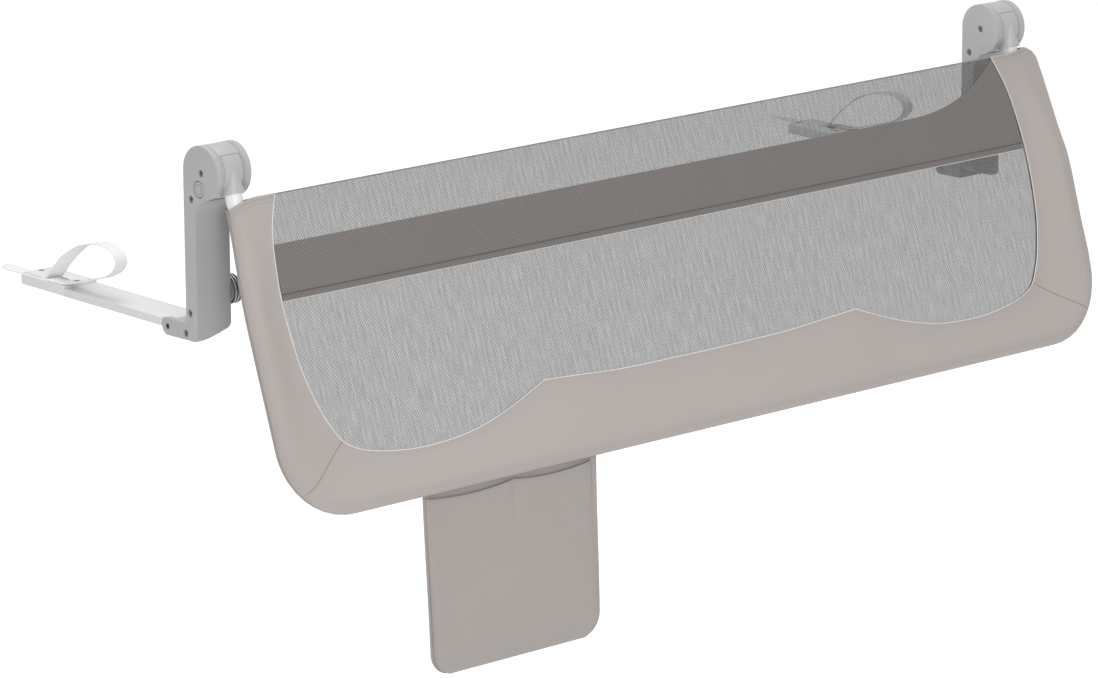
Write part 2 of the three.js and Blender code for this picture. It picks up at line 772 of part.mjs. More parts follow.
// One layer of the cover: round the tube's outer side, then a web to the window's edge.
// side is 1 for the layer away from the bed and -1 for the one towards it.
function coverLayer(side) {
  const outer = rollRadius;
  const rings = allStations.map((s) => {
    const edge = new THREE.Vector2(s.edgeAcross - s.across, s.edgeDrop - s.drop);
    const reach = edge.length();
    edge.normalize();
    const skin = (inset) => {
      const line = [];
      const place = (direction, d, out) => new THREE.Vector3(
        s.across + direction[0] * d, -out, -(s.drop + direction[1] * d));
      const radius = outer - inset;
      const startTurn = touchGap / 2 / outer;
      const edgeOut = meshOffset + side * (meshThickness / 2 + touchGap + coverThickness - inset);
      for (let i = 0; i <= coverArcSteps; i += 1) {
        const turn = startTurn + (Math.PI / 2 - startTurn) * i / coverArcSteps;
        line.push(place(s.inward, -radius * Math.cos(turn), s.out + side * radius * Math.sin(turn)));
      }
      const crown = s.out + side * radius;
      for (let i = 1; i <= coverWebSteps; i += 1) {
        const share = i / coverWebSteps;
        line.push(place([edge.x, edge.y], reach * share,
          THREE.MathUtils.lerp(crown, edgeOut, easeShare(share))));
      }
      return line;
    };
    const ring = [...skin(0), ...skin(coverThickness).reverse()];
    return side > 0 ? ring.reverse() : ring;
  });
  return loft(rings);
}

// The mesh fills the window and is held between the two layers
function meshPanel() {
  const points = allStations.map((s) => {
    const away = new THREE.Vector2(s.across - s.edgeAcross, s.drop - s.edgeDrop).setLength(meshTuck);
    return new THREE.Vector2(s.edgeAcross + away.x, -(s.edgeDrop + Math.max(away.y, 0)));
  });
  return profileOnRail(new THREE.Shape(points.reverse()), meshOffset - meshThickness / 2,
    meshOffset + meshThickness / 2);
}

function windowHalfAt(drop) {
  const below = halfStations.findIndex((s) => s.edgeDrop >= drop);
  const high = halfStations[below - 1];
  const low = halfStations[below];
  const share = (drop - high.edgeDrop) / (low.edgeDrop - high.edgeDrop);
  return THREE.MathUtils.lerp(high.edgeAcross, low.edgeAcross, share);
}

function bandStrip() {
  const top = windowHalfAt(bandTop) - touchGap;
  const bottom = windowHalfAt(bandBottom) - touchGap;
  const shape = new THREE.Shape();
  shape.moveTo(-bottom, -bandBottom);
  shape.lineTo(bottom, -bandBottom);
  shape.lineTo(top, -bandTop);
  shape.lineTo(-top, -bandTop);
  const back = meshOffset + meshThickness / 2 + touchGap;
  return profileOnRail(shape, back, back + bandThickness);
}

// Pocket: its own group hangs at the seam behind the cover's roll round the lower tube, with X
// across, -Z down the pocket and -Y out of the bed
const seamOut = frameOut(railDrop) - rollRadius - touchGap;
const pocketGroup = new THREE.Group();
pocketGroup.position.set(0,
  hingeY - tubeFoot * Math.sin(railTilt) - seamOut * Math.cos(railTilt) + pocketSheet,
  hingeHeight - tubeFoot * Math.cos(railTilt) + seamOut * Math.sin(railTilt));
pocketGroup.rotation.x = -pocketTilt;
root.add(pocketGroup);

function pocketShape(inset, top) {
  const left = pocketLeft + inset;
  const right = pocketLeft + pocketWidth - inset;
  const low = -pocketHeight + inset;
  const lean = pocketTaper;
  const corner = pocketCorner - inset;
  const shape = new THREE.Shape();
  shape.moveTo(left, top);
  shape.lineTo(left + lean, low + corner);
  shape.absarc(left + lean + corner, low + corner, corner, Math.PI, 1.5 * Math.PI, false);
  shape.absarc(right - lean - corner, low + corner, corner, 1.5 * Math.PI, 2 * Math.PI, false);
  shape.lineTo(right, top);
  return shape;
}

function pocketBag() {
  const slab = (inset, top, y0, y1) => {
    const geometry = new THREE.ExtrudeGeometry(pocketShape(inset, top),
      { depth: y1 - y0, bevelEnabled: false, curveSegments: smallFacets / 2 });
    geometry.rotateX(Math.PI / 2);
    geometry.translate(0, y1, 0);
    return geometry;
  };
  const bag = slab(0, 0, -pocketDepth, 0);
  return cutFrom(bag, [
    slab(pocketSheet, cutOverrun, -pocketDepth + pocketSheet, -pocketSheet),
    block(pocketLeft - cutOverrun, pocketLeft + pocketWidth + cutOverrun,
      -pocketDepth - cutOverrun, -pocketSheet, -pocketMouthDrop, cutOverrun)]);
}

// Every piece of one side is built at the left and mirrored for the right
const sidePieces = [
  [root, 'post_outer_shell', outerShell(), plastic],
  [root, 'post_inner_shell', innerShell(), plastic],
  [root, 'post_spine', postSpine(), steel],
  [root, 'hinge_axle', threadedRod(axisPlace, axleRadius, axleInset), steel],
  [root, 'shell_standoff', threadedRod(upperPlace, standoffRadius, standoffInset), steel],
  [root, 'axle_screw_outer', screwX(axisPlace, axisScrewLength, false), steel],
  [root, 'axle_screw_inner', screwX(axisPlace, axisScrewLength, true), steel],
  [root, 'head_screw_outer', screwX(upperPlace, axisScrewLength, false), steel],
  [root, 'head_screw_inner', screwX(upperPlace, axisScrewLength, true), steel],
  [root, 'post_screw', screwX(lowerPlace, longScrewLength, false), steel],
  [root, 'foot_screw', screwX(footPlace, longScrewLength, false), steel],
  [root, 'release_button', releaseButton(), rotorPlastic],
  [root, 'lock_pin', lockPin(), steel],
  [root, 'button_spring', buttonSpring(), steel],
  [root, 'wire_coil', wireCoil(), steel],
  [root, 'arm_pivot_pin', pivotPin(), steel],
  [root, 'mattress_arm', arm(), armPaint],
  [root, 'arm_end_piece', endPiece(), armPaint],
  [root, 'end_screw_near', endScrew(endStart + endScrewInset), steel],
  [root, 'end_screw_far', endScrew(armReach - endScrewInset), steel],
  [root, 'anchor_strap', strap(), webbing],
  [railGroup, 'hinge_rotor', rotor(), rotorPlastic],
  [railGroup, 'side_tube', sideTube(), paintedTube],
  [railGroup, 'tube_joiner', tubeJoiner(), steel],
];
for (const [group, name, geometry, finish] of sidePieces) {
  addMesh(group, `left_${name}`, geometry, finish);
  addMesh(group, `right_${name}`, mirrored(geometry), finish);
}

addMesh(railGroup, 'lower_tube',
  straightTube(tubeRadius, tubeWall, -tubeJoint + touchGap, tubeJoint - touchGap), paintedTube);
addMesh(railGroup, 'cover_front', coverLayer(1), coverCloth);
addMesh(railGroup, 'cover_back', coverLayer(-1), backCloth);
addMesh(railGroup, 'mesh_panel', meshPanel(), meshCloth);
addMesh(railGroup, 'dark_band', bandStrip(), bandCloth);
addMesh(pocketGroup, 'pocket', pocketBag(), coverCloth);

export default root;
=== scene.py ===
"""A folding bed guard rail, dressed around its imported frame.

The rail hangs folded down outside a bed: two moulded hinge posts, painted arms with webbing
straps, and a fabric cover with a knitted mesh window on a tube frame, with a pocket below it.
All lengths are in metres. -X is left, seen from outside the bed, and +Y points into the bed.
"""
from __future__ import annotations

import json
import logging
import math
from contextlib import contextmanager
from dataclasses import dataclass, field
from enum import Enum
from typing import Callable, Iterator, Sequence

import bpy
from mathutils import Matrix, Vector

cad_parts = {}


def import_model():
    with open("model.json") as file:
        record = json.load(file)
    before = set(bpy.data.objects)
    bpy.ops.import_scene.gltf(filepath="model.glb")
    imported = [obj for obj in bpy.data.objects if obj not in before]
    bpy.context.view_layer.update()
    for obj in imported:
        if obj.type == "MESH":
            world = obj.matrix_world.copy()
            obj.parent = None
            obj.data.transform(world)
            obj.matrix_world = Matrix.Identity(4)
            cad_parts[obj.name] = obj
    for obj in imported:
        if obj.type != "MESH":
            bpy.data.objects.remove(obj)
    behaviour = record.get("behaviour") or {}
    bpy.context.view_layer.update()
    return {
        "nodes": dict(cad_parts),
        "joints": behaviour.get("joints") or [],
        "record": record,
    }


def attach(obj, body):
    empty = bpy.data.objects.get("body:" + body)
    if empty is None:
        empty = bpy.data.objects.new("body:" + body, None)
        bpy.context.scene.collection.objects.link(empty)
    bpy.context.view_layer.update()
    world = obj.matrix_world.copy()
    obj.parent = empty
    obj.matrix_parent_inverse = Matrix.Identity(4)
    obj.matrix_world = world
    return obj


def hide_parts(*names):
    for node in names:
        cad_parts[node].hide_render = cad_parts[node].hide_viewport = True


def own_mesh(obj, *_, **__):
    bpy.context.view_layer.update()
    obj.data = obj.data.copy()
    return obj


log = logging.getLogger("bed_rail")

Object = bpy.types.Object
Material = bpy.types.Material
Point2 = tuple[float, float]
Colour = tuple[float, float, float]
GridPlace = Callable[[int, int], Vector]
ClothPlace = Callable[[int, int], Point2]

FULL_TURN = 2 * math.pi
# How far a cutter reaches past the surface that it cuts.
OVER = 0.001


class Side(Enum):
    """The two ends of the rail, seen from outside the bed."""

    LEFT = "left"
    RIGHT = "right"


class Layer(Enum):
    """The cover's two layers of cloth: the one away from the bed and the one towards it."""

    FRONT = 1
    BACK = -1


# Node materials


class Sock:
    """A socket or number of one node tree, with the arithmetic of its Math nodes."""

    def __init__(self, tree: "Tree", link: object) -> None:
        """Wraps a link or number.

        Args:
            tree: the node tree that new Math nodes go into.
            link: an output socket or a number.
        """
        self.tree = tree
        self.link = link

    def _math(self, operation: str, first: object, second: object = 0.0) -> "Sock":
        """Adds a Math node and returns its result."""
        return self.tree.node("ShaderNodeMath", {"operation": operation}, {0: first, 1: second})

    def __add__(self, other: object) -> "Sock":
        """Sum."""
        return self._math("ADD", self, other)

    def __sub__(self, other: object) -> "Sock":
        """Difference."""
        return self._math("SUBTRACT", self, other)

    def __mul__(self, other: object) -> "Sock":
        """Product."""
        return self._math("MULTIPLY", self, other)

    def __radd__(self, other: object) -> "Sock":
        """Sum with a number on the left."""
        return self._math("ADD", other, self)

    def __rsub__(self, other: object) -> "Sock":
        """Difference from a number on the left."""
        return self._math("SUBTRACT", other, self)

    def __rmul__(self, other: object) -> "Sock":
        """Product with a number on the left."""
        return self._math("MULTIPLY", other, self)

    def sine(self) -> "Sock":
        """Its sine."""
        return self._math("SINE", self)

    def cosine(self) -> "Sock":
        """Its cosine."""
        return self._math("COSINE", self)

    def size(self) -> "Sock":
        """Its absolute value."""
        return self._math("ABSOLUTE", self)

    def smooth(self, low: float, high: float) -> "Sock":
        """A smooth step from 0 at low to 1 at high."""
        return self.tree.node(
            "ShaderNodeMapRange", {"interpolation_type": "SMOOTHSTEP"}, {0: self, 1: low, 2: high})


class Tree:
    """The node tree of one material, with its Principled shader."""

    def __init__(self, name: str) -> None:
        """Makes a material with nothing in it but its shader.

        Args:
            name: the material's name.
        """
        self.material = bpy.data.materials.new(name)
        self.material.use_nodes = True
        self.nodes = self.material.node_tree.nodes
        self.links = self.material.node_tree.links
        self.nodes.clear()
        self.shader = self.nodes.new("ShaderNodeBsdfPrincipled")
        output = self.nodes.new("ShaderNodeOutputMaterial")
        self.links.new(self.shader.outputs[0], output.inputs[0])

    def node(self, kind: str, settings: dict, values: dict, output: object = 0) -> Sock:
        """Adds a node.

        Args:
            kind: the node's type.
            settings: its settings, such as a Math node's operation.
            values: numbers, colours or links of its sockets, by index or name.
            output: the socket that is returned, by index or name.

        Returns:
            The chosen output.
        """
        made = self.nodes.new(kind)
        for key, value in settings.items():
            setattr(made, key, value)
        for key, value in values.items():
            self.feed(made.inputs[key], value)
        return Sock(self, made.outputs[output])

    def feed(self, target: bpy.types.NodeSocket, value: object) -> None:
        """Links or sets one input socket.

        Args:
            target: the input socket.
            value: a Sock or output socket that is linked, or a number, vector or colour.
        """
        link = value.link if isinstance(value, Sock) else value
        if isinstance(link, bpy.types.NodeSocket):
            self.links.new(link, target)
        elif isinstance(link, tuple) and len(link) == 3 and target.type == "RGBA":
            target.default_value = (*link, 1)
        else:
            target.default_value = link

    def set(self, **values: object) -> None:
        """Sets or links sockets of the shader, with underscores for spaces in their names."""
        for name, value in values.items():
            self.feed(self.shader.inputs[name.replace("_", " ")], value)

    def object_place(self) -> Sock:
        """Object coordinates."""
        return self.node("ShaderNodeTexCoord", {}, {}, "Object")

    def cloth_place(self) -> tuple[Sock, Sock]:
        """The piece's own UV map, in metres along and across the cloth."""
        place = self.node("ShaderNodeUVMap", {"uv_map": "UVMap"}, {})
        split = self.nodes.new("ShaderNodeSeparateXYZ")
        self.feed(split.inputs[0], place)
        return Sock(self, split.outputs[0]), Sock(self, split.outputs[1])

    def grain(self, scale: float, detail: float = 2.0, roughness: float = 0.5) -> Sock:
        """Noise in Object coordinates, from about 0 to 1."""
        return self.node("ShaderNodeTexNoise", {}, {
            "Vector": self.object_place(), "Scale": scale, "Detail": detail, "Roughness": roughness})

    def mix(self, share: object, first: object, second: object) -> Sock:
        """A colour between two colours.

        Args:
            share: 0 for the first colour and 1 for the second.
            first: the first colour.
            second: the second colour.

        Returns:
            The mixed colour.
        """
        made = self.nodes.new("ShaderNodeMix")
        made.data_type = "RGBA"
        self.feed(made.inputs[0], share)
        self.feed(made.inputs[6], first)
        self.feed(made.inputs[7], second)
        return Sock(self, made.outputs[2])

    def shades(self, share: Sock, colour: Colour, dark: float, light: float = 1.0) -> Sock:
        """A colour that wanders between a darker and a lighter shade of itself."""
        return self.mix(share, shade_of(colour, dark), shade_of(colour, light))

    def bump(self, height: Sock, depth: float, strength: float = 1.0) -> Sock:
        """A bumped normal of a real depth in metres."""
        return self.node("ShaderNodeBump", {}, {
            "Strength": strength, "Distance": depth, "Height": height})


def linear(red: int, green: int, blue: int) -> Colour:
    """A screen colour as the linear colour of a shader.

    Args:
        red: its red from 0 to 255.
        green: its green.
        blue: its blue.

    Returns:
        The linear colour.
    """
    def channel(value: int) -> float:
        """One channel by the sRGB transfer curve."""
        share = value / 255
        return share / 12.92 if share <= 0.04045 else ((share + 0.055) / 1.055) ** 2.4
    return channel(red), channel(green), channel(blue)


def shade_of(colour: Colour, factor: float) -> Colour:
    """A colour made darker or lighter by a factor."""
    return colour[0] * factor, colour[1] * factor, colour[2] * factor


@dataclass(frozen=True)
class Finish:
    """A procedural finish: the material's name and its main colour."""

    name: str
    colour: Colour

    def shade(self, tree: Tree) -> None:
        """Sets the shader's sockets.

        Args:
            tree: the material's node tree.
        """
        raise NotImplementedError

    def material(self) -> Material:
        """The node material."""
        tree = Tree(self.name)
        self.shade(tree)
        return tree.material


@dataclass(frozen=True)
class MouldedPlastic(Finish):
    """Satin moulded plastic with a fine spark-eroded grain."""

    roughness: float = 0.42
    grain_scale: float = 1400.0
    grain_depth: float = 0.00006
    cloud_scale: float = 16.0
    cloud_share: float = 0.06

    def shade(self, tree: Tree) -> None:
        """Sets the shader's sockets.

        Args:
            tree: the material's node tree.
        """
        cloud = tree.grain(self.cloud_scale, 3.0)
        fine = tree.grain(self.grain_scale, 1.0)
        tree.set(
            Base_Color=tree.shades(cloud, self.colour, 1 - self.cloud_share, 1 + self.cloud_share),
            Roughness=self.roughness - 0.06 + 0.12 * fine,
            Normal=tree.bump(fine, self.grain_depth))


@dataclass(frozen=True)
class PowderCoat(Finish):
    """Painted steel with the faint orange peel of powder coat."""

    roughness: float = 0.34
    peel_scale: float = 420.0
    peel_depth: float = 0.00005
    cloud_scale: float = 11.0

    def shade(self, tree: Tree) -> None:
        """Sets the shader's sockets.

        Args:
            tree: the material's node tree.
        """
        peel = tree.grain(self.peel_scale, 1.5)
        cloud = tree.grain(self.cloud_scale, 2.0)
        tree.set(
            Base_Color=tree.shades(cloud, self.colour, 0.97),
            Roughness=self.roughness + 0.08 * cloud,
            Normal=tree.bump(peel, self.peel_depth))


@dataclass(frozen=True)
class PlatedSteel(Finish):
    """Zinc-plated or bright steel with fine draw marks."""

    roughness: float = 0.3
    mark_scale: float = 900.0
    mark_depth: float = 0.00002
    tint_scale: float = 60.0

    def shade(self, tree: Tree) -> None:
        """Sets the shader's sockets.

        Args:
            tree: the material's node tree.
        """
        marks = tree.grain(self.mark_scale, 2.0)
        tint = tree.grain(self.tint_scale, 2.0)
        tree.set(
            Base_Color=tree.shades(tint, self.colour, 0.86),
            Metallic=1.0,
            Roughness=self.roughness + 0.15 * marks,
            Normal=tree.bump(marks, self.mark_depth))


@dataclass(frozen=True)
class WovenCloth(Finish):
    """Plain-woven upholstery cloth: crossing threads, soft mottling, a little painted shade in the weave's
    hollows and a little sheen.
    """

    thread: float = 0.0008
    depth: float = 0.00012
    mottle_and_weave_shade: float = 0.05
    mottle_scale: float = 9.0
    slub_scale: float = 260.0
    sheen: float = 0.12

    def shade(self, tree: Tree) -> None:
        """Sets the shader's sockets.

        Args:
            tree: the material's node tree.
        """
        along, across = tree.cloth_place()
        turn = math.pi / self.thread
        warp = (along * turn).sine() * (across * turn).cosine()
        weft = (across * turn).sine() * (along * turn).cosine()
        height = warp.size() + weft.size()
        cloud = tree.grain(self.mottle_scale, 4.0, 0.6)
        slub = tree.grain(self.slub_scale, 2.0)
        # The tone is random mottling and slubs, and a little lighter on raised threads: painted shade in
        # the weave's hollows.
        tone = 0.62 * cloud + 0.2 * slub + 0.12 * height
        tree.set(
            Base_Color=tree.shades(tone, self.colour, 1 - self.mottle_and_weave_shade, 1 + self.mottle_and_weave_shade),
            Roughness=0.78 + 0.12 * slub,
            Sheen_Weight=self.sheen,
            Sheen_Roughness=0.5,
            Normal=tree.bump(height, self.depth, 0.7))


@dataclass(frozen=True)
class KnitMesh(Finish):
    """Warp-knitted netting: upright wales joined by crossing threads around open holes."""

    wale: float = 0.0050
    course: float = 0.0042
    closed: float = 0.565
    open: float = 0.165
    threads_along: float = 420.0
    threads_across: float = 30.0

    def shade(self, tree: Tree) -> None:
        """Sets the shader's sockets, with an Alpha that falls in each hole on both faces.

        Args:
            tree: the material's node tree.
        """
        along, across = tree.cloth_place()
        columns = (along * (FULL_TURN / self.wale)).cosine()
        rows = (across * (FULL_TURN / self.course)).cosine()
        cell = columns * rows
        thread = tree.node("ShaderNodeCombineXYZ", {}, {
            0: along * self.threads_along, 1: across * self.threads_across})
        streak = tree.node("ShaderNodeTexNoise", {"noise_dimensions": "2D"}, {
            "Vector": thread, "Scale": 1.0, "Detail": 1.0})
        ribs = (along * (0.5 * FULL_TURN / self.wale)).cosine()
        hole = (0.38 * cell.smooth(0.0, 0.3) + 0.05 * ribs.smooth(-0.9, 0.9)
                + 0.13 * streak.smooth(0.35, 0.68))
        cloud = tree.grain(7.0, 3.0, 0.6)
        tree.set(
            Base_Color=tree.shades(cloud, self.colour, 0.88, 1.14),
            Roughness=0.7,
            Alpha=self.closed - (self.closed - self.open) * hole,
            Normal=tree.bump(cell, -0.0005))


@dataclass(frozen=True)
class NettedCloth(Finish):
    """Plain cloth seen through the netting that lies on it, whose threads have the main colour; the
    cloth's darker tone is painted shade behind the mesh.
    """

    # The cloth's colour, darker than the cover's cloth: painted shade behind the mesh.
    cloth: Colour
    wale: float = 0.0050
    course: float = 0.0042
    threads_along: float = 420.0

    def shade(self, tree: Tree) -> None:
        """Sets the shader's sockets.

        Args:
            tree: the material's node tree.
        """
        along, across = tree.cloth_place()
        cell = ((along * (FULL_TURN / self.wale)).cosine()
                * (across * (FULL_TURN / self.course)).cosine())
        hole = cell.smooth(0.05, 0.21)
        cloud = tree.grain(14.0, 3.0, 0.6)
        streak = tree.node("ShaderNodeTexNoise", {"noise_dimensions": "1D"}, {
            "W": along * self.threads_along, "Scale": 1.0, "Detail": 2.0})
        # The ground: the darkened cloth, painted shade behind the mesh, with random mottling and streaks.
        ground = tree.shades(0.5 * cloud + 0.5 * streak, self.cloth, 0.84, 1.1)
        tree.set(
            Base_Color=tree.mix(hole, self.colour, ground),
            Roughness=0.75,
            Normal=tree.bump(hole, -0.0004))


@dataclass(frozen=True)
class BeltWebbing(Finish):
    """Flat woven webbing with chevron rows and firm edges."""

    rib: float = 0.0016
    line: float = 0.0025
    width: float = 0.020
    depth: float = 0.00015

    def shade(self, tree: Tree) -> None:
        """Sets the shader's sockets.

        Args:
            tree: the material's node tree.
        """
        along, across = tree.cloth_place()
        lean = (across - self.width / 2).size()
        ribs = ((along + lean) * (FULL_TURN / self.rib)).sine()
        lines = (across * (FULL_TURN / self.line)).cosine()
        height = 0.6 * ribs + 0.4 * lines
        tree.set(
            # A little darker where the weave lies low: painted shade in the weave's hollows.
            Base_Color=tree.shades(height.smooth(-1.0, 0.6), self.colour, 0.96),
            Roughness=0.8,
            Sheen_Weight=0.1,
            Normal=tree.bump(height, self.depth))


# Mesh making


def deselect() -> None:
    """Leaves nothing selected, in object mode."""
    if bpy.context.object and bpy.context.object.mode != "OBJECT":
        bpy.ops.object.mode_set(mode="OBJECT")
    bpy.ops.object.select_all(action="DESELECT")


def pick(piece: Object) -> None:
    """Makes one piece the selected and active one."""
    deselect()
    piece.select_set(True)
    bpy.context.view_layer.objects.active = piece


@contextmanager
def editing(piece: Object) -> Iterator[None]:
    """Edit mode on one piece, with all of it selected.

    Args:
        piece: the piece that is edited.

    Yields:
        Nothing, while the piece is in edit mode.
    """
    pick(piece)
    bpy.ops.object.mode_set(mode="EDIT")
    bpy.ops.mesh.select_all(action="SELECT")
    yield
    bpy.ops.object.mode_set(mode="OBJECT")


def settle(piece: Object) -> Object:
    """Applies a piece's place, turn and size to its mesh."""
    pick(piece)
    bpy.ops.object.transform_apply(location=True, rotation=True, scale=True)
    return piece


def face_out(piece: Object, merge: float = 1e-6) -> None:
    """Merges doubles and points a closed piece's faces outwards."""
    with editing(piece):
        bpy.ops.mesh.remove_doubles(threshold=merge)
        bpy.ops.mesh.select_all(action="SELECT")
        bpy.ops.mesh.normals_make_consistent(inside=False)


def modify(piece: Object, kind: str, **settings: object) -> None:
    """Adds a modifier and applies it.

    Args:
        piece: the piece that it shapes.
        kind: the modifier's type.
        settings: its settings.
    """
    modifier = piece.modifiers.new(kind.title(), kind)
    for key, value in settings.items():
        setattr(modifier, key, value)
    pick(piece)
    bpy.ops.object.modifier_apply(modifier=modifier.name)


def combine(base: Object, tools: Sequence[Object], operation: str = "DIFFERENCE") -> Object:
    """Cuts or joins closed solids with a base, and removes the tools.

    Args:
        base: the solid that stays.
        tools: the solids that are cut from it or joined to it.
        operation: DIFFERENCE, UNION or INTERSECT.

    Returns:
        The base.
    """
    for tool in tools:
        modify(base, "BOOLEAN", operation=operation, object=tool, solver="EXACT")
        bpy.data.objects.remove(tool)
    return base


def box(x: Point2, y: Point2, z: Point2, name: str = "cutter") -> Object:
    """A closed block between two values along each axis.

    Args:
        x: its two ends along X.
        y: its two ends along Y.
        z: its two ends along Z.
        name: the object's name.

    Returns:
        The solid.
    """
    deselect()
    bpy.ops.mesh.primitive_cube_add(
        size=1, location=(sum(x) / 2, sum(y) / 2, sum(z) / 2),
        scale=(x[1] - x[0], y[1] - y[0], z[1] - z[0]))
    piece = settle(bpy.context.object)
    piece.name = name
    return piece


def frustum(radii: Point2, length: float, middle: Sequence[float], tip: float, facets: int,
            name: str) -> Object:
    """A closed cylinder or cone frustum, upright or tipped towards X.

    Args:
        radii: its radius at the axis's start and end.
        length: its length.
        middle: its middle's place.
        tip: the turn about Y from an upright axis.
        facets: its sides.
        name: the object's name.

    Returns:
        The solid.
    """
    deselect()
    bpy.ops.mesh.primitive_cone_add(vertices=facets, radius1=radii[0], radius2=radii[1],
                                    depth=length, location=middle, rotation=(0, tip, 0))
    piece = settle(bpy.context.object)
    piece.name = name
    return piece


def rod(radius: float, x: Point2, y: float, z: float, facets: int = 48, end: float | None = None,
        name: str = "cutter") -> Object:
    """A closed cylinder along X, or a frustum whose radius at the higher X is the end radius."""
    return frustum((radius, radius if end is None else end), x[1] - x[0], (sum(x) / 2, y, z),
                   math.pi / 2, facets, name)


def pole(radius: float, x: float, y: float, z: Point2, facets: int = 48, end: float | None = None,
         name: str = "cutter") -> Object:
    """A closed cylinder along Z, or a frustum whose radius at the higher Z is the end radius."""
    return frustum((radius, radius if end is None else end), z[1] - z[0], (x, y, sum(z) / 2),
                   0, facets, name)


def socket_head(piece: Object, socket: Object) -> Object:
    """Finishes a screw's head with a rounded rim and a socket."""
    soften(piece, 0.0006, 3)
    combine(piece, [socket])
    return smooth(piece)


def outline_solid(name: str, outline: Sequence[Point2], x: Point2) -> Object:
    """Extrudes a side view along X.

    Args:
        name: the piece's name.
        outline: its points in Y and Z, in order.
        x: the two ends of the extrusion.

    Returns:
        The closed solid.
    """
    deselect()
    bpy.ops.mesh.primitive_circle_add(vertices=len(outline), radius=1, fill_type="NGON")
    piece = bpy.context.object
    piece.name = name
    for vertex, (y, z) in zip(piece.data.vertices, outline):
        vertex.co = (x[0], y, z)
    with editing(piece):
        bpy.ops.mesh.extrude_region_move(TRANSFORM_OT_translate={"value": (x[1] - x[0], 0, 0)})
    face_out(piece)
    return piece


def round_edges(piece: Object, width: float, weight: Callable[[Vector, Vector], float],
                segments: int = 4) -> None:
    """Bevels chosen edges, each by its own share of a width.

    Args:
        piece: the piece that is bevelled.
        width: the full width.
        weight: gives an edge's share from its two ends.
        segments: the bevel's steps.
    """
    mesh = piece.data
    shares = mesh.attributes.new("bevel_weight_edge", "FLOAT", "EDGE")
    for edge in mesh.edges:
        first, second = (mesh.vertices[i].co for i in edge.vertices)
        shares.data[edge.index].value = weight(first, second)
    modify(piece, "BEVEL", width=width, segments=segments, limit_method="WEIGHT",
           use_clamp_overlap=True)


def soften(piece: Object, width: float, segments: int = 2, angle: float = 38.0) -> None:
    """Bevels every edge that is sharper than an angle in degrees."""
    modify(piece, "BEVEL", width=width, segments=segments, limit_method="ANGLE",
           angle_limit=math.radians(angle), use_clamp_overlap=True)


def smooth(piece: Object, angle: float = 32.0) -> Object:
    """Shades a piece smooth, with creases sharper than an angle in degrees, and returns it."""
    pick(piece)
    bpy.ops.object.shade_smooth_by_angle(angle=math.radians(angle))
    return piece


def mapped_grid(name: str, columns: int, rows: int, place: GridPlace, cloth: ClothPlace) -> Object:
    """A grid whose points are moved to a formula's places.

    Args:
        name: the piece's name.
        columns: steps along the piece.
        rows: steps across it.
        place: gives the point of a column and a row.
        cloth: gives the flat cloth's place, in metres, for the UV map.

    Returns:
        The open sheet.
    """
    deselect()
    bpy.ops.mesh.primitive_grid_add(x_subdivisions=columns, y_subdivisions=rows, size=2)
    piece = bpy.context.object
    piece.name = name
    cells: list[tuple[int, int]] = []
    for vertex in piece.data.vertices:
        column = round((vertex.co.x + 1) / 2 * columns)
        row = round((vertex.co.y + 1) / 2 * rows)
        cells.append((column, row))
        vertex.co = place(column, row)
    layer = piece.data.uv_layers.active
    for loop in piece.data.loops:
        layer.data[loop.index].uv = cloth(*cells[loop.vertex_index])
    piece.data.update()
    return piece


def cloth_sheet(name: str, columns: int, rows: int, place: GridPlace, cloth: ClothPlace,
                thickness: float, turned: bool = False, levels: int = 0, angle: float = 50) -> Object:
    """A grid of cloth with its own area noted before it gets its thickness.

    Args:
        name: the piece's name.
        columns: steps along the piece.
        rows: steps across it.
        place: gives the point of a column and a row.
        cloth: gives the flat cloth's place, in metres, for the UV map.
        thickness: the cloth's thickness.
        turned: True where the formula's places face the wrong way.
        levels: subdivisions of the closed sheet.
        angle: creases sharper than this angle in degrees stay.

    Returns:
        The closed sheet.
    """
    piece = mapped_grid(name, columns, rows, place, cloth)
    if turned:
        piece.data.flip_normals()
    piece["cloth_area"] = sum(face.area for face in piece.data.polygons)
    modify(piece, "SOLIDIFY", thickness=thickness, offset=0)
    if levels:
        modify(piece, "SUBSURF", levels=levels, render_levels=levels)
    return smooth(piece, angle)


def lengths_along(points: Sequence[Vector]) -> list[float]:
    """The length from the first point to each point."""
    total = [0.0]
    for before, after in zip(points, points[1:]):
        total.append(total[-1] + (after - before).length)
    return total


def tube(name: str, path: Sequence[Vector], radius: float, sides: int = 16) -> Object:
    """A round tube along a path, closed at both ends and shaded smooth.

    Args:
        name: the piece's name.
        path: the middle line's points.
        radius: the tube's radius.
        sides: its facets.

    Returns:
        The closed tube.
    """
    last = len(path) - 1
    heading = [(path[min(i + 1, last)] - path[max(i - 1, 0)]).normalized() for i in range(last + 1)]
    side = heading[0].orthogonal().normalized()
    sides_of = []
    for way in heading:
        side = (side - way * side.dot(way)).normalized()
        sides_of.append(side)
    around = lengths_along(path)

    def place(column: int, row: int) -> Vector:
        """The point of a step along the path at a turn round it."""
        turn = FULL_TURN * row / sides
        first = sides_of[column]
        second = heading[column].cross(first)
        return path[column] + (first * math.cos(turn) + second * math.sin(turn)) * radius

    def cloth(column: int, row: int) -> Point2:
        """The lengths along the path and round the tube."""
        return around[column], FULL_TURN * radius * row / sides

    piece = mapped_grid(name, last, sides, place, cloth)
    with editing(piece):
        bpy.ops.mesh.remove_doubles(threshold=1e-7)
        bpy.ops.mesh.select_all(action="SELECT")
        bpy.ops.mesh.fill_holes(sides=0)
    face_out(piece)
    return smooth(piece, 60)


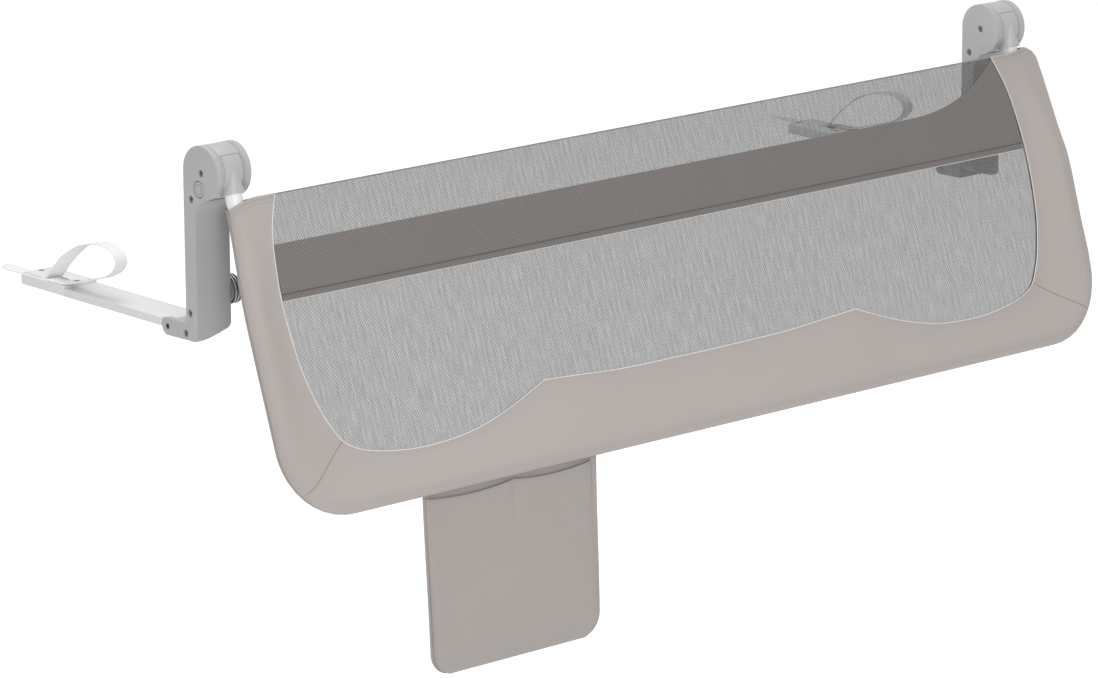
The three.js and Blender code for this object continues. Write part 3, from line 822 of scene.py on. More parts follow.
def helix(name: str, turns: float, radius: float, wire: float, x: Point2, centre: Point2,
          turn_steps: int, sides: int) -> Object:
    """A coil of round wire along X.

    Args:
        name: the piece's name.
        turns: its number of turns.
        radius: the radius of the wire's middle line.
        wire: the wire's radius.
        x: the middle line's first X and last X.
        centre: the axis's place in Y and Z.
        turn_steps: steps for one turn.
        sides: the wire's facets.

    Returns:
        The closed coil.
    """
    steps = round(turns * turn_steps)
    path = []
    for i in range(steps + 1):
        turn = FULL_TURN * turns * i / steps
        path.append(Vector((x[0] + (x[1] - x[0]) * i / steps, centre[0] + radius * math.cos(turn),
                            centre[1] + radius * math.sin(turn))))
    return tube(name, path, wire, sides)


def mirrored(piece: Object, name: str) -> Object:
    """A mirror image in the plane X = 0, with its own mesh.

    Args:
        piece: the piece that is mirrored.
        name: the image's name.

    Returns:
        The mirror image.
    """
    copy = piece.copy()
    copy.data = piece.data.copy()
    copy.name = name
    bpy.context.scene.collection.objects.link(copy)
    copy.data.transform(Matrix.Scale(-1, 4, (1, 0, 0)))
    copy.data.flip_normals()
    return copy


def dress(piece: Object, material: Material, body: str, slot: str, *nodes: str) -> Object:
    """Finishes a piece: its material, its body and the nodes that it stands for.

    Args:
        piece: the finished mesh.
        material: its finish.
        body: the CAD body that it moves with.
        slot: the record's material slot; not used.
        nodes: the CAD nodes that it replaces.

    Returns:
        The piece.
    """
    piece.data.materials.clear()
    piece.data.materials.append(material)
    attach(piece, body)
    if nodes:
        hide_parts(*nodes)
    log.info("%s rides on %s", piece.name, body)
    return piece


def arc(y: float, z: float, radius: float, start: float, end: float, steps: int) -> list[Point2]:
    """Points on an arc in Y and Z, from one turn in radians to another, both included."""
    return [(y + radius * math.cos(start + (end - start) * i / steps),
             z + radius * math.sin(start + (end - start) * i / steps)) for i in range(steps + 1)]


def spline(points: Sequence[Sequence[float]], steps: int) -> list[tuple[float, ...]]:
    """Points on a Catmull-Rom curve through the given ones.

    Args:
        points: the points that the curve passes.
        steps: steps between neighbouring points.

    Returns:
        The curve's points, both ends included.
    """
    made: list[tuple[float, ...]] = []
    last = len(points) - 1
    for i in range(last):
        near = [points[max(i - 1, 0)], points[i], points[i + 1], points[min(i + 2, last)]]
        for k in range(steps):
            t = k / steps
            made.append(tuple(
                0.5 * (2 * b + (c - a) * t + (2 * a - 5 * b + 4 * c - d) * t * t
                       + (3 * b - a - 3 * c + d) * t ** 3)
                for a, b, c, d in zip(*near)))
    made.append(tuple(points[-1]))
    return made


def crowded(share: float) -> float:
    """A share moved so that even steps crowd towards both ends."""
    return 0.5 - 0.5 * math.cos(math.pi * share)


def ease(share: float) -> float:
    """A smooth rise from 0 to 1."""
    share = min(max(share, 0.0), 1.0)
    return share * share * (3 - 2 * share)


def rise(value: float, start: float, length: float) -> float:
    """A smooth rise from 0 at a start to 1 after a length."""
    return ease((value - start) / length)


# The object


@dataclass
class RailPlane:
    """The rail's own directions: across the bed's side, down the rail and out of the bed."""

    hinge: Vector
    tilt: float

    @classmethod
    def of_frame(cls, joints: Sequence[dict]) -> "RailPlane":
        """Reads the hinge's place and the rail's lean from the fold joint."""
        fold = next(joint for joint in joints if joint["name"] == "rail_fold")
        return cls(Vector(fold["pos_m"]), math.pi - math.radians(fold["range_deg"][1]))

    def point(self, across: float, down: float, out: float) -> Vector:
        """A point in the object's frame from its place on the rail."""
        sine, cosine = math.sin(self.tilt), math.cos(self.tilt)
        return self.hinge + Vector((across, -down * sine - out * cosine, -down * cosine + out * sine))

    def lay(self, piece: Object) -> Object:
        """Turns a piece that was made upright at the hinge into the rail's place."""
        piece.data.transform(Matrix.Translation(self.hinge) @ Matrix.Rotation(-self.tilt, 4, "X"))
        return piece

    def outwards(self, length: float) -> Vector:
        """A step out of the bed."""
        return self.point(0, 0, length) - self.point(0, 0, 0)


def made(finish: Finish) -> Material:
    """A palette's entry, whose material is made with the palette."""
    return field(default_factory=finish.material)


@dataclass
class Palette:
    """The finishes of the whole rail, made once."""

    post: Material = made(MouldedPlastic("post_plastic", linear(178, 178, 179)))
    rotor: Material = made(MouldedPlastic("rotor_plastic", linear(182, 182, 183), 0.38))
    peg: Material = made(MouldedPlastic("peg_plastic", linear(128, 128, 130), 0.35))
    button: Material = made(MouldedPlastic(
        "button_plastic", linear(176, 176, 177), 0.3, cloud_share=0.03))
    steel: Material = made(PlatedSteel("steel", linear(150, 150, 152)))
    dark_steel: Material = made(PlatedSteel("dark_steel", linear(96, 96, 98), 0.38))
    chrome: Material = made(PlatedSteel("bright_wire", linear(158, 158, 160), 0.12))
    arm: Material = made(PowderCoat("arm_paint", linear(224, 224, 224)))
    arm_end: Material = made(MouldedPlastic(
        "end_plastic", linear(224, 224, 224), 0.45, cloud_share=0.03))
    tube: Material = made(PowderCoat("tube_paint", linear(244, 244, 243), 0.3))
    webbing: Material = made(BeltWebbing("webbing", linear(247, 247, 247)))
    cover: Material = made(WovenCloth("cover_cloth", linear(180, 173, 169)))
    lining: Material = made(WovenCloth("lining_cloth", linear(172, 165, 160)))
    # The strip's cloth, front and back, is the cover's cloth made darker: painted shade behind the mesh.
    strip: Material = made(NettedCloth("netted_strip_painted_shade", linear(104, 103, 102), linear(150, 141, 136)))
    strip_back: Material = made(WovenCloth("strip_cloth", linear(150, 143, 138)))
    dark_thread: Material = made(WovenCloth("dark_thread", linear(84, 80, 78), thread=0.0006))
    hem_light: Material = made(WovenCloth("hem_thread", linear(205, 202, 198), thread=0.0006))
    pocket: Material = made(WovenCloth("pocket_cloth", linear(172, 166, 162)))
    piping: Material = made(WovenCloth("piping_cloth", linear(232, 228, 224), thread=0.0006))
    # The welts are darker than the cloth: partly their own thread, partly painted shade of the seam's
    # groove.
    seam: Material = made(WovenCloth("seam_thread_and_shade", linear(140, 133, 128), thread=0.0006))
    mesh: Material = made(KnitMesh("knit_mesh", linear(104, 104, 105)))


@dataclass
class Post:
    """One hinge post with its moulded housing, its screws, its coil and its arm pivot."""

    paint: Palette
    hinge: Vector
    outer: float = -0.750
    width: float = 0.056
    depth: float = 0.024
    head: float = 0.0365
    neck: float = 0.030
    foot_drop: float = 0.009
    foot_rise: float = 0.014
    foot_corner: float = 0.009
    cheek: float = 0.008
    disc: float = 0.011
    bore: float = 0.0378
    slot_drop: float = 0.0215
    pivot: Point2 = (0.041, 0.0018)
    pivot_radius: float = 0.0041
    fork: float = 0.012
    fork_corner: float = 0.006
    inner_corner: float = 0.010
    edge: float = 0.0048
    flat_share: float = 0.34
    edge_fade: Point2 = (0.040, 0.030)
    part_line: float = 0.0088
    part_width: float = 0.00044
    part_depth: float = 0.0007
    screw_head: float = 0.0044
    screw_bore: float = 0.0050
    screw_sink: float = 0.0030
    screw_height: float = 0.0022
    socket: Point2 = (0.0022, 0.0014)
    rivet: float = 0.0040
    rivet_sink: float = 0.0006
    dimple: float = 0.0018
    coil_place: Point2 = (-0.012, 0.052)
    coil_turns: float = 3.0
    coil_radius: float = 0.019
    coil_wire: float = 0.0014
    coil_pitch: float = 0.0047
    coil_gap: float = 0.0003
    peg_radius: float = 0.0172
    peg_length: float = 0.017
    peg_hole: float = 0.0045
    peg_floor: float = 0.006
    button_place: Point2 = (0.004, -0.022)
    button_radius: float = 0.0104
    button_gap: float = 0.0011
    button_wall: float = 0.0012
    button_ends: Point2 = (-0.0006, 0.0046)
    button_face: float = 0.0014
    button_ring: Point2 = (0.0064, 0.0076)
    button_ring_depth: float = 0.0003
    button_bore: float = 0.0081
    spring_turns: float = 2.5
    spring_radius: float = 0.0063
    spring_wire: float = 0.0005
    spring_start: float = 0.0017
    spring_end: float = 0.0077
    pressed_share: float = 0.49

    @property
    def inner(self) -> float:
        """The inner face's X."""
        return self.outer + self.width

    @property
    def button_axis(self) -> Point2:
        """The button's place in Y and Z."""
        return self.hinge.y + self.button_place[0], self.hinge.z + self.button_place[1]

    @property
    def screws(self) -> dict[str, tuple[float, float, bool]]:
        """Each screw's Y, Z and whether it enters from the inner face."""
        upper = (-0.0145, self.hinge.z - 0.038)
        return {
            "axle_screw_outer": (self.hinge.y, self.hinge.z, False),
            "axle_screw_inner": (self.hinge.y, self.hinge.z, True),
            "head_screw_outer": (*upper, False),
            "head_screw_inner": (*upper, True),
            "post_screw": (-0.0075, 0.028, False),
            "foot_screw": (0.0026, -0.0007, False),
        }

    def outline(self) -> list[Point2]:
        """The side view: hinge head, concave neck, straight post and the fork for the arm."""
        hinge_y, hinge_z = self.hinge.y, self.hinge.z
        reach = self.head - self.depth - self.neck
        fall = math.sqrt((self.head + self.neck) ** 2 - reach ** 2)
        turn = math.atan2(-fall, reach)
        pivot_y, pivot_z = self.pivot
        top = pivot_z + self.fork
        points = [(0.0, hinge_z), (0.0, top + self.fork_corner)]
        points += arc(self.fork_corner, top + self.fork_corner, self.fork_corner,
                      math.pi, 1.5 * math.pi, 6)[1:]
        points += arc(pivot_y, pivot_z, self.fork, math.pi / 2, -math.pi / 2, 24)
        points += arc(-self.depth + self.fork_corner, -self.foot_drop + self.fork_corner,
                      self.fork_corner, 1.5 * math.pi, math.pi, 6)
        points += arc(hinge_y + reach, hinge_z - fall, self.neck, 0, turn + math.pi, 20)
        points += arc(hinge_y, hinge_z, self.head, turn, -2 * math.pi, 72)[1:-1]
        return points

    def edge_share(self, first: Vector, second: Vector) -> float:
        """How much an edge of the raw housing is rounded: most on the post's two front edges.

        Args:
            first: the edge's one end.
            second: its other end.

        Returns:
            Its share of the full width.
        """
        if abs(first.x - second.x) > 1e-6:
            return 0.0
        middle = (first + second) / 2
        if middle.y > -self.depth * 0.6 or middle.z > self.hinge.z - 0.5 * self.head:
            return self.flat_share
        fade = rise(self.hinge.z - middle.z, *self.edge_fade)
        return self.flat_share + (1 - self.flat_share) * fade

    def housing(self) -> Object:
        """The moulded housing with its recesses, modelled as one closed shell."""
        hinge_y, hinge_z = self.hinge.y, self.hinge.z
        low, high = self.outer, self.inner
        piece = outline_solid("left_post_housing", self.outline(), (low, high))
        combine(piece, [self.foot_cut()])
        round_edges(piece, self.edge, self.edge_share, 5)
        side_low, side_high = low + self.disc, high - self.disc
        cuts = [
            rod(self.bore, (side_low, side_high), hinge_y, hinge_z, 96),
            box((side_low, side_high), (-2 * self.head - OVER, OVER),
                (hinge_z - self.slot_drop, hinge_z + self.head + OVER)),
            box((low + self.cheek, high - self.cheek), (self.pivot[0] - self.fork, 0.07),
                (-2 * self.fork, 2 * self.fork)),
            rod(self.pivot_radius, (low - OVER, high + OVER), *self.pivot, 32),
        ]
        for y, z, inside in self.screws.values():
            cuts += self.screw_recess(y, z, inside)
        cuts.append(rod(self.button_radius + self.button_gap, (low - OVER, low + self.button_bore),
                        *self.button_axis, 64))
        cuts += [self.parting_groove(x) for x in (low + self.part_line, high - self.part_line)]
        combine(piece, cuts)
        face_out(piece, 1e-5)
        return smooth(piece, 30)

    def parting_groove(self, x: float) -> Object:
        """The cutter of the fine line round a disc's rim.

        Args:
            x: the line's place along X.

        Returns:
            The cutter, a flat ring with a gap at the post.
        """
        half = self.part_width / 2
        groove = rod(self.head + OVER, (x - half, x + half), self.hinge.y, self.hinge.z, 96)
        core = rod(self.head - self.part_depth, (x - 2 * OVER, x + 2 * OVER), self.hinge.y, self.hinge.z,
                   96)
        post = box((x - OVER, x + OVER), (-self.depth, 0.01), (0, self.hinge.z + 0.02))
        return combine(groove, [core, post])

    def foot_cut(self) -> Object:
        """What the slanting foot loses, with a rounded corner at the post's inner side."""
        low, high = self.outer + self.foot_corner, self.inner
        slope = math.atan2(self.foot_rise, high - low)
        corner = self.inner_corner
        centre = (high - corner, -self.foot_drop + (high - corner - low) * math.tan(slope)
                  + corner / math.cos(slope))
        bend = arc(*centre, corner, slope - math.pi / 2, 0, 8)
        side = [(low, -self.foot_drop), *bend, (high + OVER, bend[-1][1]),
                (high + OVER, -self.foot_drop - OVER), (low, -self.foot_drop - OVER)]
        cut = outline_solid("cutter", side, (-self.depth - OVER, 0.0005))
        cut.data.transform(Matrix(((0, 1, 0, 0), (1, 0, 0, 0), (0, 0, 1, 0), (0, 0, 0, 1))))
        face_out(cut)
        return cut

    def screw_recess(self, y: float, z: float, inside: bool) -> list[Object]:
        """The bore of a screw's head and the chamfer at its mouth.

        Args:
            y: the screw's place in Y.
            z: its place in Z.
            inside: True where it enters from the inner face.

        Returns:
            The two cutters.
        """
        face, way = (self.inner, -1) if inside else (self.outer, 1)
        bore = (face - way * OVER, face + way * (self.screw_sink + self.screw_height))
        mouth = (face - way * 0.0002, face + way * 0.0007)
        wide, narrow = self.screw_bore + 0.0011, self.screw_bore - 0.0001
        if inside:
            return [rod(self.screw_bore, bore[::-1], y, z, 32), rod(narrow, mouth[::-1], y, z, 32, wide)]
        return [rod(self.screw_bore, bore, y, z, 32), rod(wide, mouth, y, z, 32, narrow)]

    def screw(self, name: str, y: float, z: float, inside: bool) -> Object:
        """A pan-head screw with a hexagon socket, sunk below its recess's mouth.

        Args:
            name: the piece's name.
            y: its place in Y.
            z: its place in Z.
            inside: True where it enters from the inner face.

        Returns:
            The screw's head.
        """
        face, way = (self.inner, -1) if inside else (self.outer, 1)
        top = face + way * self.screw_sink
        ends = tuple(sorted((top, top + way * self.screw_height)))
        radius, depth = self.socket
        hollow = tuple(sorted((top - way * OVER, top + way * depth)))
        return socket_head(rod(self.screw_head, ends, y, z, 40, name=name), rod(radius, hollow, y, z, 6))

    def coil(self) -> Object:
        """A bright coil of wire on a peg at the housing's inner side."""
        start = self.inner + self.coil_gap + self.coil_wire
        return helix("left_wire_coil_turns", self.coil_turns, self.coil_radius, self.coil_wire,
                     (start, start + self.coil_pitch * self.coil_turns), self.coil_place, 40, 12)

    def peg(self) -> Object:
        """The peg that the coil is wound on."""
        face = self.inner
        piece = rod(self.peg_radius, (face - OVER, face + self.peg_length), *self.coil_place, 64,
                    name="left_coil_peg")
        soften(piece, 0.0012, 3)
        combine(piece, [rod(self.peg_hole, (face + self.peg_floor, face + 0.02), *self.coil_place, 32)])
        return smooth(piece)

    def button(self) -> Object:
        """The round release button: a hollow cap with a ring groove in its face."""
        place, face = self.button_axis, self.outer
        low, high = self.button_ends
        piece = rod(self.button_radius, (face + low, face + high), *place, 64, name="left_push_button")
        soften(piece, 0.0009, 4, 60)
        combine(piece, [rod(self.button_radius - self.button_wall,
                            (face + self.button_face, face + 0.006), *place, 64)])
        inner, outer = self.button_ring
        groove = rod(outer, (face - 2 * OVER, face + self.button_ring_depth), *place, 64)
        combine(groove, [rod(inner, (face - 3 * OVER, face + 2 * OVER), *place, 64)])
        combine(piece, [groove])
        return smooth(piece, 40)

    def spring(self) -> Object:
        """The button's return spring, between its cap and the floor of its bore."""
        wire = self.spring_wire
        ends = (self.outer + self.spring_start + wire, self.outer + self.spring_end - wire)
        return helix("left_button_coil", self.spring_turns, self.spring_radius, wire, ends,
                     self.button_axis, 32, 8)

    def pivot_pin(self) -> Object:
        """The arm's pivot, a riveted pin with a dimple at each end."""
        low, high = self.outer, self.inner
        piece = rod(self.rivet, (low + self.rivet_sink, high - self.rivet_sink), *self.pivot, 32,
                    name="left_pivot_rivet")
        soften(piece, 0.0005, 2)
        for ends in ((low - OVER, low + self.dimple), (high - self.dimple, high + OVER)):
            combine(piece, [rod(self.rivet / 2, ends, *self.pivot, 24)])
        return smooth(piece)

    def build(self) -> None:
        """Makes the left post's pieces and their mirror images."""
        paint = self.paint
        both(self.housing(), paint.post, "posts", "post_plastic", "post_outer_shell", "post_inner_shell")
        for name, (y, z, inside) in self.screws.items():
            both(self.screw(f"left_{name}_cap", y, z, inside), paint.steel, "posts", "steel", name)
        both(self.coil(), paint.chrome, "posts", "bright_wire", "wire_coil")
        both(self.peg(), paint.peg, "posts", "post_plastic")
        both(self.pivot_pin(), paint.dark_steel, "posts", "steel", "arm_pivot_pin")
        both(self.spring(), paint.steel, "posts", "steel", "button_spring")
        for side, way in ((Side.LEFT, 1), (Side.RIGHT, -1)):
            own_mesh(bpy.data.objects[f"{side.value}_button_coil"], f"{side.value}_button_press",
                      (1, 0, 0), (way * (self.outer + self.spring_end), 0, 0), self.pressed_share)
        both(self.button(), paint.button, "left_button", "button_plastic", "release_button")


def both(piece: Object, material: Material, body: str, slot: str, *nodes: str) -> None:
    """Dresses a left piece and a mirrored right one. A body that starts with left is mirrored too.

    Args:
        piece: the left piece, whose name starts with left.
        material: the finish.
        body: the left piece's body.
        slot: the record's material slot.
        nodes: the replaced nodes, without their side.
    """
    right = mirrored(piece, piece.name.replace("left", "right", 1))
    dress(piece, material, body, slot, *[f"left_{node}" for node in nodes])
    dress(right, material, body.replace("left", "right", 1), slot, *[f"right_{node}" for node in nodes])


@dataclass
class Rotor:
    """The drum between the head's discs with its raised pad and its tapered tube socket."""

    paint: Palette
    plane: RailPlane
    middle: float = -0.722
    width: float = 0.0334
    radius: float = 0.0363
    pad: float = 0.0001
    groove: float = 0.0012
    tube_out: float = 0.022
    socket_length: float = 0.036
    socket_rise: float = -0.003
    socket_lean: float = 0.0100
    tip: float = 0.0050
    mouth: float = 0.0160
    bore: float = 0.0119
    bore_top: float = -0.0235
    rim: float = 0.0009
    pad_gap: float = 0.0019
    pad_start: float = math.radians(135)
    pad_end: float = math.radians(235)

    def sector(self, name: str, radius: float, start: float, end: float, x: Point2) -> Object:
        """A wedge of the drum between two turns, from its axis to a radius.

        Args:
            name: the wedge's name.
            radius: its radius.
            start: its first turn in radians.
            end: its last turn in radians.
            x: its two ends along X.

        Returns:
            The closed wedge.
        """
        steps = max(8, round((end - start) / 0.05))
        piece = outline_solid(name, [(0.0, 0.0)] + arc(0, 0, radius, start, end, steps), x)
        soften(piece, 0.0003, 2, 50)
        return piece

    def socket(self) -> Object:
        """The tapered socket that leans out of the drum, with the tube's bore."""
        piece = pole(self.mouth, self.middle, -self.tube_out, (-self.socket_length, self.socket_rise),
                     96, self.tip, "socket")
        for vertex in piece.data.vertices:
            share = (vertex.co.z + self.socket_length) / (self.socket_length + self.socket_rise)
            vertex.co.y -= self.socket_lean * share
        combine(piece, [pole(self.bore, self.middle, -self.tube_out,
                             (-self.socket_length - OVER, self.bore_top), 64)])
        soften(piece, 0.0005, 2, 50)
        return piece

    def build(self) -> None:
        """Makes the left drum upright at the hinge, lays it in the rail's place and mirrors it."""
        low, high = self.middle - self.width / 2, self.middle + self.width / 2
        front, below = self.pad_start + self.plane.tilt, self.pad_end
        inner = self.radius - self.groove
        piece = outline_solid("left_hinge_drum", arc(0, 0, inner, 0, FULL_TURN, 128)[:-1], (low, high))
        parts = [
            self.sector("crown", self.radius, below, front + FULL_TURN, (low, high)),
            self.sector("rim", self.radius, front, below, (low, low + self.rim)),
            self.sector("rim", self.radius, front, below, (high - self.rim, high)),
            self.sector("pad", self.radius + self.pad, front + 0.026, below,
                        (low + self.pad_gap, high - self.pad_gap)),
            self.socket()]
        for part in (*parts, piece):
            smooth(part, 28)
        pick(piece)
        for part in parts:
            part.select_set(True)
        bpy.ops.object.join()
        self.plane.lay(piece)
        both(piece, self.paint.rotor, "rail", "rotor_plastic", "hinge_rotor")


@dataclass
class Arm:
    """The arm under the mattress, its end piece and its webbing strap."""

    paint: Palette
    low: float = -0.7495
    high: float = -0.6945
    pivot: Point2 = (0.041, 0.0018)
    knuckle: float = 0.011
    thickness: float = 0.011
    bar_start: float = 0.0545
    end_start: float = 0.272
    reach: float = 0.382
    end_height: float = 0.0145
    chamfer: float = 0.008
    plan_chamfer: float = 0.013
    end_overhang: float = 0.0005
    slot_gap: float = 0.0081
    bar_gap: float = 0.0003
    bar_overlap: float = 0.004
    pin_bore: float = 0.0043
    channel_half: float = 0.0106
    channel: Point2 = (-0.0004, 0.0021)
    channel_start: float = 0.034
    mouth_length: float = 0.032
    groove_sides: Point2 = (-0.0121, -0.0105)
    groove_margins: Point2 = (0.002, 0.0075)
    groove_depth: float = 0.0052
    screw_bore: Point2 = (0.0048, 0.0030)
    screw_rim: Point2 = (0.0047, 0.0058)
    screw_head: float = 0.0044
    screw_sink: float = 0.0013
    screw_height: float = 0.0016
    socket: Point2 = (0.0022, 0.0011)
    strap_width: float = 0.020
    strap_thickness: float = 0.0016
    tail: float = 0.056
    tip: float = 0.013
    floor: float = 0.010
    loop_height: float = 0.073
    loop_length: float = 0.174
    mouth: float = 0.330
    screw_side: float = 0.0140
    strap_shift: float = 0.0085
    folded_share: float = 0.36
    strap_turn: float = -0.5
    turned_from: Point2 = (0.0, 0.02)
    turned_back: Point2 = (0.03, 0.10)
    tail_turn: float = 0.16
    tail_range: Point2 = (0.2, 0.7)
    strap_skew: float = -0.0075
    skew_from: float = 0.03
    skew_start: float = 0.01
    skew_length: float = 1.364
    skew_share: float = 0.15
    tip_shift: float = 0.004
    screw_places: Point2 = (0.287, 0.368)
    loop_shares: tuple[Point2, ...] = (
        (-0.1, 0.16), (-0.27, 0.53), (-0.5, 0.86), (-0.76, 1.0), (-0.94, 0.94), (-1.0, 0.75),
        (-0.93, 0.53), (-0.75, 0.35), (-0.54, 0.22), (-0.42, 0.13))
    landing_gap: float = 0.0003
    landing: tuple[Point2, ...] = ((0.004, 0.0006), (0.022, 0.0), (0.041, 0.0))

    @property
    def middle(self) -> float:
        """The strap's middle line, towards the arm's outer side."""
        return (self.low + self.high) / 2 - self.strap_shift

    def bar(self) -> Object:
        """The flat bar with its knuckle between the fork's cheeks."""
        slot = (self.low + self.slot_gap, self.high - self.slot_gap)
        piece = box((self.low, self.high), (self.bar_start, self.end_start - self.bar_gap),
                    (0, self.thickness), "left_arm_bar")
        neck = box(slot, (self.pivot[0], self.bar_start + self.bar_overlap), (0, self.thickness))
        combine(piece, [rod(self.knuckle, slot, *self.pivot, 64), neck], "UNION")
        combine(piece, [rod(self.pin_bore, (self.low, self.high), *self.pivot, 32)])
        face_out(piece, 1e-5)
        soften(piece, 0.0014, 3)
        return smooth(piece)

    def end(self) -> Object:
        """The end piece: a chamfered cap with the strap's channel, its mouth and a groove line."""
        outline = [
            (self.end_start, 0.0), (self.reach, 0.0), (self.reach, self.end_height - self.chamfer),
            (self.reach - self.chamfer, self.end_height), (self.end_start, self.end_height)]
        sides = (self.low - self.end_overhang, self.high + self.end_overhang)
        piece = outline_solid("left_arm_cap", outline, sides)
        block, diagonal = 0.03, math.sqrt(2)
        for x, way in zip(sides, (-1, 1)):
            corner = box((-block, block), (-block, block), (-0.01, block))
            reach = block - self.plan_chamfer / diagonal
            corner.data.transform(
                Matrix.Translation((x + way * reach / diagonal, self.reach + reach / diagonal, 0))
                @ Matrix.Rotation(math.pi / 4, 4, "Z"))
            combine(piece, [corner])
        soften(piece, 0.0012, 3, 30)
        strap = (self.middle - self.channel_half, self.middle + self.channel_half)
        low, high = (self.floor + gap for gap in self.channel)
        top = self.end_height
        left, right = (self.middle + side for side in self.groove_sides)
        near, far = self.groove_margins
        cuts = [
            box(strap, (self.mouth - self.channel_start, self.reach + 0.01), (low, high)),
            box(strap, (self.mouth - self.mouth_length, self.mouth + OVER), (low, block)),
            box((left, right), (self.mouth + near, self.reach - far), (top - self.groove_depth, block)),
        ]
        x = self.middle + self.screw_side
        bore, depth = self.screw_bore
        inner, outer = self.screw_rim
        for y in self.screw_places:
            cuts.append(pole(bore, x, y, (top - depth, block), 32))
            cuts.append(pole(inner, x, y, (top - 0.0006, top + 0.0002), 32, outer))
        combine(piece, cuts)
        face_out(piece, 1e-5)
        return smooth(piece)

    def end_screw(self, name: str, y: float) -> Object:
        """A screw in the end piece's top.

        Args:
            name: the piece's name.
            y: its place in Y.

        Returns:
            The screw's head.
        """
        x = self.middle + self.screw_side
        top = self.end_height - self.screw_sink
        radius, depth = self.socket
        return socket_head(pole(self.screw_head, x, y, (top - self.screw_height, top), 40, name=name),
                           pole(radius, x, y, (top - depth, top + OVER), 6))

    def strap_line(self) -> list[Point2]:
        """The strap's middle line in Y and Z: tail, channel, loop and the end on the end piece."""
        floor = self.floor + self.strap_thickness / 2
        top = self.end_height + self.landing_gap + self.strap_thickness / 2
        points = [
            (self.reach + self.tail, floor), (self.mouth + self.strap_width, floor), (self.mouth, floor),
            (self.mouth - 4 * self.strap_thickness, floor + self.strap_thickness)]
        points += [(self.mouth + along * self.loop_length, floor + up * self.loop_height)
                   for along, up in self.loop_shares]
        points += [(self.end_start + along, top + up) for along, up in self.landing]
        return spline(points, 8)

    def strap(self) -> Object:
        """The webbing strap, woven flat, with a pointed tail."""
        path = [Vector((self.middle, y, z)) for y, z in self.strap_line()]
        along = lengths_along(path)
        rows = 8
        start = self.reach + self.tail - self.mouth
        tail_start, tail_length = (share * self.tail for share in self.tail_range)
        skew_length = self.skew_length * self.loop_length

        def place(column: int, row: int) -> Vector:
            """The strap's point, with its turns and its skew.

            Args:
                column: the step along the strap.
                row: the step across it.

            Returns:
                The point.
            """
            share = row / rows
            length = along[column]
            narrow = min(1.0, 0.5 + 0.5 * ease(length / self.tip))
            side = (share - 0.5) * self.strap_width * narrow
            heading = path[min(column + 1, len(path) - 1)] - path[max(column - 1, 0)]
            below = Vector((0, heading.z, -heading.y)).normalized()
            past = length - start
            turn = self.strap_turn * rise(past, *self.turned_from) * (1 - rise(past, *self.turned_back))
            turn += self.tail_turn * (1 - rise(length, tail_start, tail_length))
            skew = rise(past, self.skew_start, skew_length) + self.skew_share
            shift = self.strap_skew * skew * ease(past / self.skew_from) + (1 - narrow) * self.tip_shift
            across = Vector((math.cos(turn), 0, 0)) + below * math.sin(turn)
            return path[column] + across * side + Vector((shift, 0, 0))

        piece = mapped_grid("left_webbing_strap", len(path) - 1, rows, place,
                            lambda column, row: (along[column], row / rows * self.strap_width))
        modify(piece, "SOLIDIFY", thickness=self.strap_thickness, offset=0)
        face_out(piece, 1e-7)
        soften(piece, 0.0004, 2, 60)
        return smooth(piece, 50)

    def build(self) -> None:
        """Makes the left arm's pieces and their mirror images."""
        paint = self.paint
        both(self.bar(), paint.arm, "left_arm", "arm_paint", "mattress_arm")
        both(self.end(), paint.arm_end, "left_arm", "end_plastic", "arm_end_piece")
        for name, y in zip(("end_screw_near", "end_screw_far"), self.screw_places):
            both(self.end_screw(f"left_{name}_cap", y), paint.dark_steel, "left_arm", "steel", name)
        both(self.strap(), paint.webbing, "left_arm", "webbing", "anchor_strap")
        for side in Side:
            strap = bpy.data.objects[f"{side.value}_webbing_strap"]
            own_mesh(strap)


